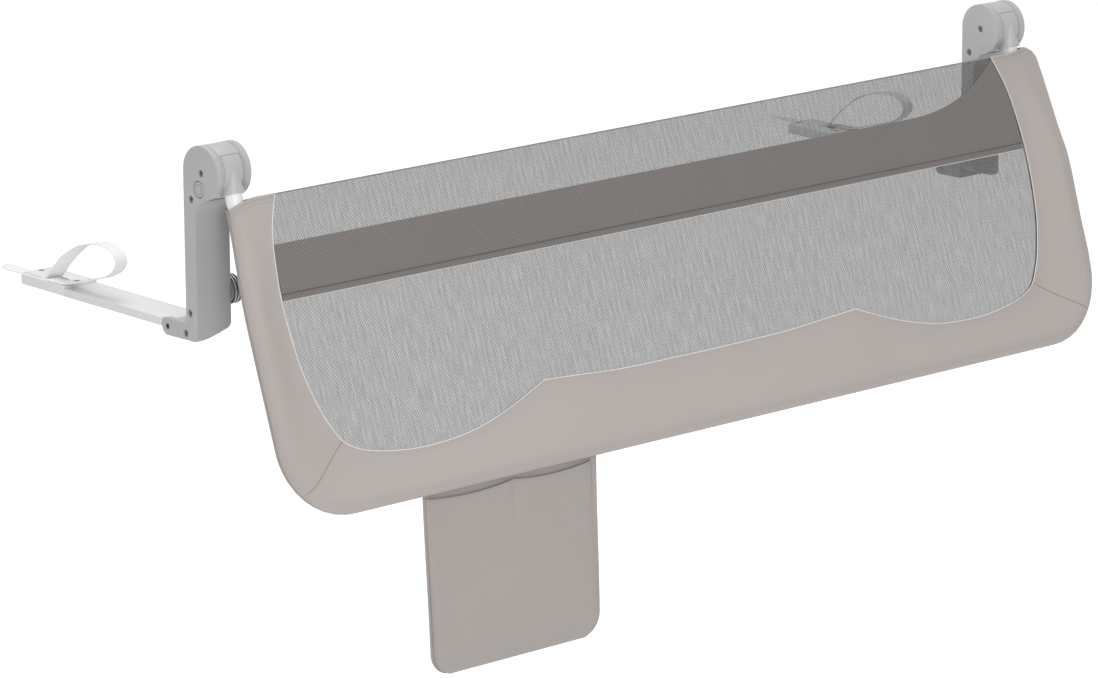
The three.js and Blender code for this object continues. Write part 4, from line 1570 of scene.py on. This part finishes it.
@dataclass
class TubeFrame:
    """The rail's tube frame: its middle line from the hinge down and round the lower corner."""

    paint: Palette
    plane: RailPlane
    drop: float = 0.475
    middle: float = 0.722
    radius: float = 0.0115
    out: float = 0.022
    flare: float = 0.022
    bow: float = 0.018
    bend_start: float = 0.046
    bend_end: float = 0.215
    corner: float = 0.085
    roll: float = 0.0141
    start: float = 0.024
    cover_start: float = 0.045
    joint: float = 0.300
    joint_gap: float = 0.0003

    def bend_at(self, down: float) -> float:
        """How far the side tube has bent, from 0 at the hinge to 1."""
        return ease((down - self.bend_start) / (self.bend_end - self.bend_start))

    def across_at(self, down: float) -> float:
        """The side tube's distance from the middle."""
        return self.middle + self.flare * self.bend_at(down)

    def out_at(self, down: float) -> float:
        """The side tube's distance out of the bed."""
        return self.out + self.bow * self.bend_at(down)

    @property
    def side(self) -> float:
        """The side tube's length from the cover's start to the lower corner."""
        return self.foot - self.corner - self.cover_start

    @property
    def foot(self) -> float:
        """The lower tube's drop."""
        return self.drop - self.roll

    @property
    def half(self) -> float:
        """The frame's length from the cover's start to the middle of the lower tube."""
        return self.side + self.corner * math.pi / 2 + self.across_at(self.drop) - self.corner

    def at(self, length: float) -> tuple[float, float, float, Point2]:
        """A point on the right half of the frame.

        Args:
            length: the length along the tube from the cover's start.

        Returns:
            Its place across, down and out, and the direction into the frame.
        """
        side, quarter = self.side, self.corner * math.pi / 2
        centre = self.across_at(self.drop) - self.corner
        if length <= side:
            down = self.cover_start + length
            return self.across_at(down), down, self.out_at(down), (-1.0, 0.0)
        if length <= side + quarter:
            turn = (length - side) / self.corner
            return (centre + self.corner * math.cos(turn),
                    self.foot - self.corner + self.corner * math.sin(turn), self.out_at(self.drop),
                    (-math.cos(turn), -math.sin(turn)))
        return centre - (length - side - quarter), self.foot, self.out_at(self.drop), (0.0, -1.0)

    def build(self) -> None:
        """Makes the whole bent tube as one smooth piece for each side and the lower tube."""
        first, last = self.start - self.cover_start, self.half - self.joint
        steps = 110
        path = []
        for i in range(steps + 1):
            length = first + (last - first) * i / steps
            if length < 0:
                path.append(self.plane.point(-self.middle, self.cover_start + length, self.out))
            else:
                across, down, out, _ = self.at(length)
                path.append(self.plane.point(-across, down, out))
        both(tube("left_frame_tube", path, self.radius, 32), self.paint.tube, "rail", "tube_paint",
             "side_tube")
        end = self.joint - self.joint_gap
        ends = [self.plane.point(x, self.foot, self.out_at(self.drop)) for x in (-end, 0.0, end)]
        dress(tube("lower_frame_tube", ends, self.radius, 32), self.paint.tube, "rail", "tube_paint",
              "lower_tube")


@dataclass
class Station:
    """One row across the cover: the frame's point, the direction inwards and the window's edge."""

    across: float
    down: float
    out: float
    inward: Point2
    edge: Point2
    along: float
    slack: float


@dataclass
class Cover:
    """The cloth cover: two layers round the tube, the mesh, the strip darkened partly by painted shade,
    piping and seams.
    """

    paint: Palette
    plane: RailPlane
    frame: TubeFrame
    window_half: float = 0.694
    thickness: float = 0.0014
    window_drop: float = 0.411
    mesh_out: float = 0.0341
    mesh_thickness: float = 0.0006
    strip_top: float = 0.111
    strip_bottom: float = 0.1855
    cuff_drop: float = 0.011
    right_cuff_drop: float = -0.006
    cuff: float = 0.045
    fold: float = 0.024
    ripple: float = 0.0010
    shoulder_slack: Point2 = (0.006, 0.029)
    shoulder_climb: float = 0.020
    shoulder_end: Point2 = (0.070, 0.120)
    side_slack: Point2 = (0.014, 0.004)
    side_end: Point2 = (0.22, 0.10)
    foot_slack: float = 0.010
    foot_end: Point2 = (0.34, 0.10)
    rim_gap: float = 0.0005
    cuff_web_share: float = 0.35
    seam_lean: float = 0.55
    arc_steps: int = 10
    web_steps: int = 16
    cloth_width: float = 0.13
    turn_share: float = 0.432
    mesh_tuck: float = 0.004
    strip_inset: float = 0.004
    strip_thickness: float = 0.0020
    strip_rise: Point2 = (0.470, 0.672)
    strip_rise_height: float = 0.066
    strip_rise_power: float = 2.6
    wave_height: float = 0.0010
    wave_pitch: float = 9.0
    piping_out: float = 0.0022
    piping_radius: float = 0.0007
    welt_radius: float = 0.0009
    corner_welt_radius: float = 0.0005
    corner_start: float = -0.68
    crown_power: float = 0.85
    mesh_inset: float = 0.001
    steps: int = 5
    lobe_edge_shares: tuple[tuple[float, ...], ...] = (
        (0, 0.96, 0.095), (0.046, 0.986, 0.2), (0.096, 0.997, 0.316), (0.152, 1, 0.432),
        (0.226, 0.99, 0.59), (0.281, 0.968, 0.705), (0.305, 0.951, 0.758), (0.366, 0.927, 0.808),
        (0.428, 0.879, 0.84), (0.49, 0.807, 0.859), (0.555, 0.735, 0.865), (0.62, 0.634, 0.855),
        (0.68, 0.533, 0.819), (0.746, 0.422, 0.758))
    middle_edge_shares: tuple[tuple[float, ...], ...] = (
        (0.746, 0.422, 0.758), (0.8, 0.331, 0.766), (0.87, 0.216, 0.776), (1, 0, 0.779))
    stations: list[Station] = field(default_factory=list)

    def __post_init__(self) -> None:
        """Works out the rows from the left top corner round to the right one."""
        fine = spline(self.lobe_edge_shares, 5 * self.steps)[:-1]
        cuff = 5 * self.steps
        shares = fine[:cuff] + fine[cuff::5] + spline(self.middle_edge_shares, 2 * self.steps)
        half = [self.station(*share) for share in shares]
        left = [self.flipped(row) for row in half]
        self.stations = left + half[:-1][::-1]
        for row, other in zip(self.stations[1:], self.stations):
            row.along = other.along + math.hypot(row.across - other.across, row.down - other.down)

    def station(self, length: float, across: float, down: float) -> Station:
        """A row on the right half.

        Args:
            length: its share of the frame's length.
            across: the window's edge as a share of its half width.
            down: the window's edge as a share of the rail's drop.

        Returns:
            The row.
        """
        place = self.frame.at(length * self.frame.half)
        edge = (across * self.window_half, down * self.frame.drop)
        return Station(*place, edge, 0.0, self.shoulder(place[1]))

    def shoulder(self, down: float) -> float:
        """How far the slack cloth stands out on the right: a full shoulder, then a little.

        Args:
            down: the drop below the hinge.

        Returns:
            The distance, which is 0 at the foot.
        """
        climb = min(max((down - self.frame.cover_start) / self.shoulder_climb, 0.0), 1.0)
        top = self.shoulder_slack[0] + self.shoulder_slack[1] * math.sqrt(1 - (1 - climb) ** 2)
        low = self.side_slack[0] - self.side_slack[1] * rise(down, *self.side_end)
        slack = top + (low - top) * rise(down, *self.shoulder_end)
        return slack - self.foot_slack * rise(down, *self.foot_end)

    @staticmethod
    def flipped(row: Station) -> Station:
        """The same row on the left half."""
        return Station(-row.across, row.down, row.out, (-row.inward[0], row.inward[1]),
                       (-row.edge[0], row.edge[1]), 0.0, 0.0)

    def skin(self, layer: Layer) -> GridPlace:
        """The formula of one layer: a roll round the tube, then a web to the window's edge.

        Args:
            layer: the front or the back layer.

        Returns:
            The place of a row's column.
        """
        side = layer.value
        radius = self.frame.roll - self.thickness / 2
        rim = self.mesh_out + side * (self.mesh_thickness / 2 + self.thickness / 2 + self.rim_gap)

        def place(column: int, row: int) -> Vector:
            """A point of the layer.

            Args:
                column: the station.
                row: the step from the cloth's outer edge to the window.

            Returns:
                The point.
            """
            at = self.stations[column]
            if row <= self.arc_steps:
                turn = math.pi / 2 * row / self.arc_steps
                reach = -(radius + at.slack * math.cos(turn) ** 2) * math.cos(turn)
                across = at.across + at.inward[0] * reach
                down = at.down + at.inward[1] * reach
                out = at.out + side * radius * math.sin(turn)
            else:
                share = (row - self.arc_steps) / self.web_steps
                across = at.across + (at.edge[0] - at.across) * share
                down = at.down + (at.edge[1] - at.down) * share
                crown = at.out + side * radius
                out = crown + (rim - crown) * ease(share ** self.crown_power)
            below = at.down - self.frame.cover_start
            outward = 1 - min(1.0, row / (self.arc_steps + self.cuff_web_share * self.web_steps))
            drop = self.cuff_drop if at.across < 0 else self.right_cuff_drop
            down += drop * (1 - ease(below / self.cuff)) * outward
            ripple = self.ripple * (1 - ease(below / self.fold)) * math.sin(below / self.ripple)
            return self.plane.point(across, down, out + side * ripple)

        return place

    def layer(self, layer: Layer) -> Object:
        """One layer of the cover.

        Args:
            layer: the front or the back layer.

        Returns:
            The closed sheet of the cloth's real thickness.
        """
        rows = self.arc_steps + self.web_steps
        return cloth_sheet(
            f"cover_{layer.name.lower()}_cloth", len(self.stations) - 1, rows, self.skin(layer),
            lambda column, row: (self.stations[column].along, self.cloth_width * row / rows),
            self.thickness, turned=layer is Layer.FRONT)

    def piping(self) -> Object:
        """A thin light piping along the window's edge."""
        out = self.mesh_out + self.piping_out
        path = [self.plane.point(*row.edge, out) for row in self.stations]
        return tube("window_piping", path, self.piping_radius, 8)

    def seam(self, name: str, places: Sequence[tuple[float, int]], radius: float) -> Object:
        """A sewn welt along grid places of the front layer.

        Args:
            name: the piece's name.
            places: its columns and rows, where a column that isn't whole lies between two.
            radius: the welt's radius.

        Returns:
            The welt.
        """
        place = self.skin(Layer.FRONT)
        path = []
        for column, row in places:
            first = int(column)
            second = min(first + 1, len(self.stations) - 1)
            path.append(place(first, row).lerp(place(second, row), column - first) + self.lift(row))
        return tube(name, path, radius, 8)

    def lift(self, row: int) -> Vector:
        """The step from the front layer's middle to its surface, and none at its outer edge."""
        return self.plane.outwards(0.0 if row <= 1 else self.thickness / 2)

    def lower_edge(self, across: float) -> float:
        """The drop of the window's lower edge.

        Args:
            across: the place across.

        Returns:
            The drop there, or the drop where the edge turns in when the place is beyond the edge.
        """
        turn = self.turn_share * self.frame.drop
        rows = [row for row in self.stations if row.edge[1] > turn]
        for before, after in zip(rows, rows[1:]):
            if before.edge[0] <= across <= after.edge[0]:
                share = (across - before.edge[0]) / max(after.edge[0] - before.edge[0], 1e-9)
                return before.edge[1] + share * (after.edge[1] - before.edge[1])
        return turn

    def window_sheet(self, name: str, steps: tuple[int, int], half: float,
                     top_at: Callable[[float], float], bottom_at: Callable[[float], float],
                     thickness: float) -> Object:
        """A sheet in the window's plane, in very shallow waves.

        Args:
            name: the piece's name.
            steps: its steps across and down.
            half: half its width.
            top_at: gives its upper edge's drop at a place across.
            bottom_at: gives its lower edge's drop there.
            thickness: its thickness.

        Returns:
            The closed sheet.
        """
        columns, rows = steps

        def spot(column: int, row: int) -> Point2:
            """The place across and down of a column and a row."""
            across = -half + 2 * half * column / columns
            top = top_at(across)
            return across, top + (bottom_at(across) - top) * row / rows

        def place(column: int, row: int) -> Vector:
            """The point of a column and a row."""
            return self.window_point(*spot(column, row), self.mesh_out)

        return cloth_sheet(name, columns, rows, place, spot, thickness)

    def window_point(self, across: float, down: float, out: float) -> Vector:
        """A point over the window, moved by its wave."""
        return self.plane.point(across, down, out + self.wave(across, down))

    def mesh(self) -> Object:
        """The knitted mesh in the window."""
        return self.window_sheet(
            "window_mesh", (220, 64), self.window_half - self.mesh_inset,
            lambda across: self.frame.cover_start,
            lambda across: self.lower_edge(across) + self.mesh_tuck, self.mesh_thickness)

    def wave(self, across: float, down: float) -> float:
        """How far the stretched window stands out of its plane."""
        share = (down - self.frame.cover_start) / (self.window_drop - self.frame.cover_start)
        swell = math.sin(math.pi * min(max(share, 0.0), 1.0))
        return self.wave_height * swell * math.sin(across * self.wave_pitch)

    def strip_top_at(self, across: float) -> float:
        """The strip's upper edge, which rises to the top corner at the right end."""
        start, end = self.strip_rise
        climb = max(0.0, (across - start) / (end - start))
        climbed = self.strip_rise_height * climb ** self.strip_rise_power
        return max(self.strip_top - climbed, self.frame.cover_start)

    def strip(self) -> Object:
        """The bare strip behind the mesh: dark netting threads over cloth whose darker tone is painted
        shade.
        """
        return self.window_sheet(
            "dark_strip", (160, 12), self.window_half - self.strip_inset, self.strip_top_at,
            lambda across: self.strip_bottom, self.strip_thickness)

    def line_strip_back(self, strip: Object) -> None:
        """Gives the strip's faces towards the bed plain cloth, darkened as painted shade."""
        strip.data.materials.append(self.paint.strip_back)
        out = self.plane.outwards(1.0)
        for face in strip.data.polygons:
            face.material_index = 0 if face.normal.dot(out) > -0.3 else 1

    def straight_bead(self, name: str, down: float, out: float, radius: float) -> Object:
        """A sewn line across the window.

        Args:
            name: the piece's name.
            down: its drop.
            out: its middle's distance out of the bed, before the window's wave.
            radius: its radius.

        Returns:
            The line.
        """
        half = self.window_half - self.strip_inset
        path = [self.window_point(-half + 2 * half * i / 80, down, out) for i in range(81)]
        return tube(name, path, radius, 8)

    def sew(self) -> None:
        """Makes the piping, the seams and the sewn lines."""
        paint = self.paint
        dress(self.piping(), paint.piping, "rail", "cover_fabric")
        last, rows = len(self.stations) - 1, self.arc_steps + self.web_steps
        corner = next(i for i, row in enumerate(self.stations) if row.inward[1] < self.corner_start)
        side_seam = [(i, 0) for i in range(last + 1)]
        welt = self.seam("outer_side_seam", side_seam, self.welt_radius)
        dress(welt, paint.seam, "rail", "cover_fabric")
        for name, column, way in (("left_corner_seam", corner, -1),
                                  ("right_corner_seam", last - corner, 1)):
            places = [(column + way * self.seam_lean * (rows - row) / (rows - 2), row)
                      for row in range(2, rows + 1)]
            welt = self.seam(name, places, self.corner_welt_radius)
            dress(welt, paint.seam, "rail", "cover_fabric")
        low, out = self.strip_bottom, self.mesh_out
        for name, down, level, radius, finish, slot in (
                ("strip_lower_seam", low - 0.0085, out + 0.0010, 0.0008, paint.dark_thread, "band_fabric"),
                ("mesh_top_hem", self.frame.cover_start + 0.0006, out, 0.0009, paint.seam, "mesh_fabric"),
                ("strip_lower_edge", low + 0.0006, out + 0.0008, 0.0006, paint.hem_light, "band_fabric")):
            dress(self.straight_bead(name, down, level, radius), finish, "rail", slot)

    def build(self) -> None:
        """Makes the cover's pieces."""
        paint = self.paint
        front = dress(self.layer(Layer.FRONT), paint.cover, "rail", "cover_fabric", "cover_front")
        back = dress(self.layer(Layer.BACK), paint.lining, "rail", "back_fabric", "cover_back")
        mesh = dress(self.mesh(), paint.mesh, "rail", "mesh_fabric", "mesh_panel")
        strip = dress(self.strip(), paint.strip, "rail", "band_fabric", "dark_band")
        self.line_strip_back(strip)
        self.sew()
        for piece, flat in ((front, (2.46, 0.15)), (back, (2.46, 0.15)), (mesh, (1.39, 0.372)),
                            (strip, (1.38, 0.09))):
            size = min(piece["cloth_area"], flat[0] * flat[1])


@dataclass
class Pocket:
    """The pocket that hangs behind the cover's lower edge: a back sheet and a bellied front."""

    paint: Palette
    seam: Vector
    left: float = -0.527
    width: float = 0.307
    height: float = 0.264
    depth: float = 0.013
    taper: float = 0.003
    corner: float = 0.032
    mouth: float = 0.020
    tilt: float = math.radians(1.1)
    tack_share: float = 0.52
    lobe_sag: float = 0.0055
    lobe_power: float = 0.8
    fall_power: float = 0.9
    mouth_depth: float = 0.0030
    left_margin: float = 0.004
    right_margin: float = 0.011
    rim: float = 0.0105
    foot_gap: float = 0.0015
    back_flat: Point2 = (0.298, 0.260)
    front_flat: Point2 = (0.298, 0.240)
    back_out: float = 0.0008
    front_out: float = 0.0016
    belly: float = 0.0012
    tack: float = 0.0020
    tack_size: Point2 = (0.010, 0.16)
    front_margin: float = 0.0028
    full_share: float = 0.45
    lean: float = 0.006
    seam_out: float = 0.0022
    seam_start: float = 0.004
    seam_share: float = 0.80
    seam_shift: float = 0.0006
    seam_radius: float = 0.0005
    hem_radius: float = 0.0010
    sheet: float = 0.0012

    @property
    def centre(self) -> float:
        """The middle of the pocket across the rail."""
        return self.left + self.width / 2

    def half_width(self, down: float) -> float:
        """Half the pocket's width, with its rounded lower corners.

        Args:
            down: the drop below the seam.

        Returns:
            Half the width there.
        """
        straight = self.height - self.corner
        lean = self.taper * min(down / straight, 1.0)
        if down <= straight:
            return self.width / 2 - lean
        below = min(down - straight, self.corner)
        return self.width / 2 - lean - self.corner + math.sqrt(max(self.corner ** 2 - below ** 2, 0.0))

    def point(self, across: float, down: float, out: float) -> Vector:
        """A point from its place across, below the seam and out of the bed."""
        sine, cosine = math.sin(self.tilt), math.cos(self.tilt)
        lean = self.lean * ease(down / self.height)
        return self.seam + Vector((across, -out * cosine - down * sine - lean, out * sine - down * cosine))

    def back(self) -> Object:
        """The back sheet, from the seam to the rounded bottom."""
        columns, rows = 40, 48

        def place(column: int, row: int) -> Vector:
            """The point of a column and a row."""
            down = self.height * crowded(row / rows)
            across = self.centre + self.half_width(down) * (2 * column / columns - 1)
            return self.point(across, down, self.back_out)

        wide, high = self.back_flat
        return cloth_sheet("pocket_back_sheet", columns, rows, place,
                           lambda column, row: (wide * column / columns, high * row / rows), self.sheet)

    def mouth_at(self, share: float) -> float:
        """The mouth's drop: two sagging lobes with a tack between them.

        Args:
            share: the share across the pocket.

        Returns:
            The drop below the seam.
        """
        if share < self.tack_share:
            lobe = share / self.tack_share
        else:
            lobe = (share - self.tack_share) / (1 - self.tack_share)
        return self.mouth + self.lobe_sag * math.sin(math.pi * lobe) ** self.lobe_power

    def panel(self, share: float, fall: float) -> Vector:
        """A point of the front sheet.

        Args:
            share: its share across.
            fall: its share down, from the mouth.

        Returns:
            The point.
        """
        top = self.mouth_at(share)
        drop = self.height - self.foot_gap - top
        down = top + drop * math.sin(fall * math.pi / 2) ** self.fall_power
        half = self.half_width(min(down, self.height))
        low = -half + self.left_margin
        high = half - self.right_margin
        across = low + (high - low) * share
        side = min(across - low, high - across, self.height - down, self.rim) / self.rim
        swell = math.sqrt(max(0.0, 1 - (1 - max(side, 0.0)) ** 2))
        belly = self.belly * math.sin(math.pi * share) * math.sin(math.pi * fall)
        tack_width, tack_height = self.tack_size
        tack = math.exp(-((share - self.tack_share) / tack_width) ** 2 - (fall / tack_height) ** 2)
        full = self.depth - self.front_margin
        depth = self.mouth_depth + (full - self.mouth_depth) * ease(fall / self.full_share)
        out = self.front_out + depth * swell + belly - self.tack * tack
        return self.point(self.centre + across, down, out)

    def front(self) -> Object:
        """The front sheet, whose sides and bottom turn back to the back sheet."""
        columns, rows = 96, 64
        wide, high = self.front_flat
        return cloth_sheet("pocket_front_sheet", columns, rows,
                           lambda column, row: self.panel(crowded(column / columns), row / rows),
                           lambda column, row: (wide * column / columns, high * row / rows),
                           self.sheet, levels=1, angle=60)

    def hem(self) -> Object:
        """The folded hem along the mouth."""
        path = [self.panel(crowded(i / 96), 0.0) for i in range(97)]
        return tube("pocket_mouth_hem", path, self.hem_radius, 10)

    def side_seam(self) -> Object:
        """The upright seam near the pocket's right side."""
        path = []
        for i in range(31):
            down = self.mouth + self.seam_start + (self.height * self.seam_share - self.mouth) * i / 30
            across = self.centre + self.half_width(down) - self.right_margin + self.seam_shift
            path.append(self.point(across, down, self.seam_out))
        return tube("pocket_side_seam", path, self.seam_radius, 8)

    def build(self) -> None:
        """Makes the pocket's pieces."""
        back = dress(self.back(), self.paint.pocket, "pocket", "cover_fabric", "pocket")
        front = dress(self.front(), self.paint.pocket, "pocket", "cover_fabric")
        hem = dress(self.hem(), self.paint.pocket, "pocket", "cover_fabric")
        dress(self.side_seam(), self.paint.seam, "pocket", "cover_fabric")
        for piece, flat in ((back, (0.31, 0.27)), (front, (0.34, 0.27))):
            min(piece["cloth_area"], flat[0] * flat[1])


@dataclass
class Studio:
    """Floor, soft light, white surroundings and the camera at the photograph's angle."""

    location: tuple[float, float, float] = (-4.9147, -5.4889, 1.7443)
    yaw: float = math.radians(41.15)
    pitch: float = math.radians(14.32)
    roll: float = math.radians(-0.28)
    lens: float = 177.04
    floor: float = -0.62
    floor_glow: float = 0.42
    ambient: float = 0.50

    def camera(self) -> None:
        """The camera, fitted to the photograph's perspective."""
        forward = Vector((math.sin(self.yaw) * math.cos(self.pitch),
                          math.cos(self.yaw) * math.cos(self.pitch), -math.sin(self.pitch)))
        level = Vector((math.cos(self.yaw), -math.sin(self.yaw), 0))
        upright = level.cross(forward)
        right = math.cos(self.roll) * level + math.sin(self.roll) * upright
        up = -math.sin(self.roll) * level + math.cos(self.roll) * upright
        data = bpy.data.cameras.new("camera")
        data.lens = self.lens
        data.sensor_width = 36
        data.clip_end = 100
        camera = bpy.data.objects.new("camera", data)
        bpy.context.scene.collection.objects.link(camera)
        turn = Matrix((right, up, -forward)).transposed().to_4x4()
        camera.matrix_world = Matrix.Translation(self.location) @ turn
        bpy.context.scene.camera = camera

    def world(self) -> None:
        """Even grey light, and plain white to the camera, in gloss and through the mesh."""
        world = bpy.data.worlds.new("surroundings")
        bpy.context.scene.world = world
        world.use_nodes = True
        nodes, links = world.node_tree.nodes, world.node_tree.links
        nodes.clear()
        mix = nodes.new("ShaderNodeMixShader")
        output = nodes.new("ShaderNodeOutputWorld")
        links.new(mix.outputs[0], output.inputs[0])
        for socket, strength in ((1, self.ambient), (2, 1.0)):
            light = nodes.new("ShaderNodeBackground")
            light.inputs[0].default_value = (1, 1, 1, 1)
            light.inputs[1].default_value = strength
            links.new(light.outputs[0], mix.inputs[socket])
        rays = nodes.new("ShaderNodeLightPath")
        seen = rays.outputs["Is Camera Ray"]
        for kind in ("Transmission", "Glossy"):
            either = nodes.new("ShaderNodeMath")
            either.operation = "MAXIMUM"
            links.new(seen, either.inputs[0])
            links.new(rays.outputs[f"Is {kind} Ray"], either.inputs[1])
            seen = either.outputs[0]
        links.new(seen, mix.inputs[0])

    def lamp(self, name: str, place: Sequence[float], size: float, power: float) -> None:
        """A large soft area lamp that points at the rail's middle.

        Args:
            name: the lamp's name.
            place: its place.
            size: its diameter.
            power: its power in watts.
        """
        data = bpy.data.lights.new(name, "AREA")
        data.shape = "DISK"
        data.size = size
        data.energy = power
        lamp = bpy.data.objects.new(name, data)
        bpy.context.scene.collection.objects.link(lamp)
        lamp.location = place
        lamp.rotation_euler = (Vector((0, -0.1, 0)) - Vector(place)).to_track_quat("-Z", "Y").to_euler()

    def ground(self) -> None:
        """A wide white floor that keeps the object's shadow."""
        deselect()
        bpy.ops.mesh.primitive_plane_add(size=60, location=(0, 0, self.floor))
        floor = bpy.context.object
        floor.name = "floor"
        tree = Tree("floor_white")
        tree.set(Base_Color=(0.92, 0.92, 0.92), Roughness=0.9, Emission_Color=(1.0, 1.0, 1.0))
        rays = [tree.node("ShaderNodeLightPath", {}, {}, f"Is {kind} Ray")
                for kind in ("Camera", "Glossy", "Transmission")]
        tree.set(Emission_Strength=(rays[0] + rays[1] + rays[2]).smooth(0.0, 0.5) * self.floor_glow)
        floor.data.materials.append(tree.material)

    def build(self) -> None:
        """Sets up the whole studio."""
        bpy.context.scene.view_settings.view_transform = "Standard"
        self.camera()
        self.world()
        self.lamp("key", (-3.3, -5.15, 1.9), 2.6, 124.0)
        self.lamp("top", (-0.4, 0.6, 4.2), 3.6, 95.0)
        self.ground()


def dress_hidden_nodes(frame: dict, paint: Palette) -> None:
    """Gives every CAD node its finish, also the ones that stay.

    Args:
        frame: the loaded frame.
        paint: the finishes.
    """
    finishes = {
        "steel": paint.steel, "post_plastic": paint.post, "rotor_plastic": paint.rotor,
        "button_plastic": paint.button, "bright_wire": paint.chrome, "arm_paint": paint.arm,
        "end_plastic": paint.arm_end, "webbing": paint.webbing, "tube_paint": paint.tube,
        "cover_fabric": paint.cover, "back_fabric": paint.lining, "mesh_fabric": paint.mesh,
        "band_fabric": paint.strip,
    }
    for row in frame["record"]["subparts"]:
        node = frame["nodes"][row["node"]]
        node.data.materials.clear()
        node.data.materials.append(finishes[row["material_slot"]])


def main() -> None:
    """Builds the rail around its frame."""
    logging.basicConfig(level=logging.INFO, format="%(message)s")
    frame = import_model()
    paint = Palette()
    plane = RailPlane.of_frame(frame["joints"])
    Studio().build()
    dress_hidden_nodes(frame, paint)
    Post(paint, plane.hinge).build()
    Rotor(paint, plane).build()
    Arm(paint).build()
    tubes = TubeFrame(paint, plane)
    tubes.build()
    Cover(paint, plane, tubes).build()
    swing = next(joint for joint in frame["joints"] if joint["name"] == "pocket_swing")
    Pocket(paint, Vector(swing["pos_m"])).build()


if __name__ == "__main__":
    main()
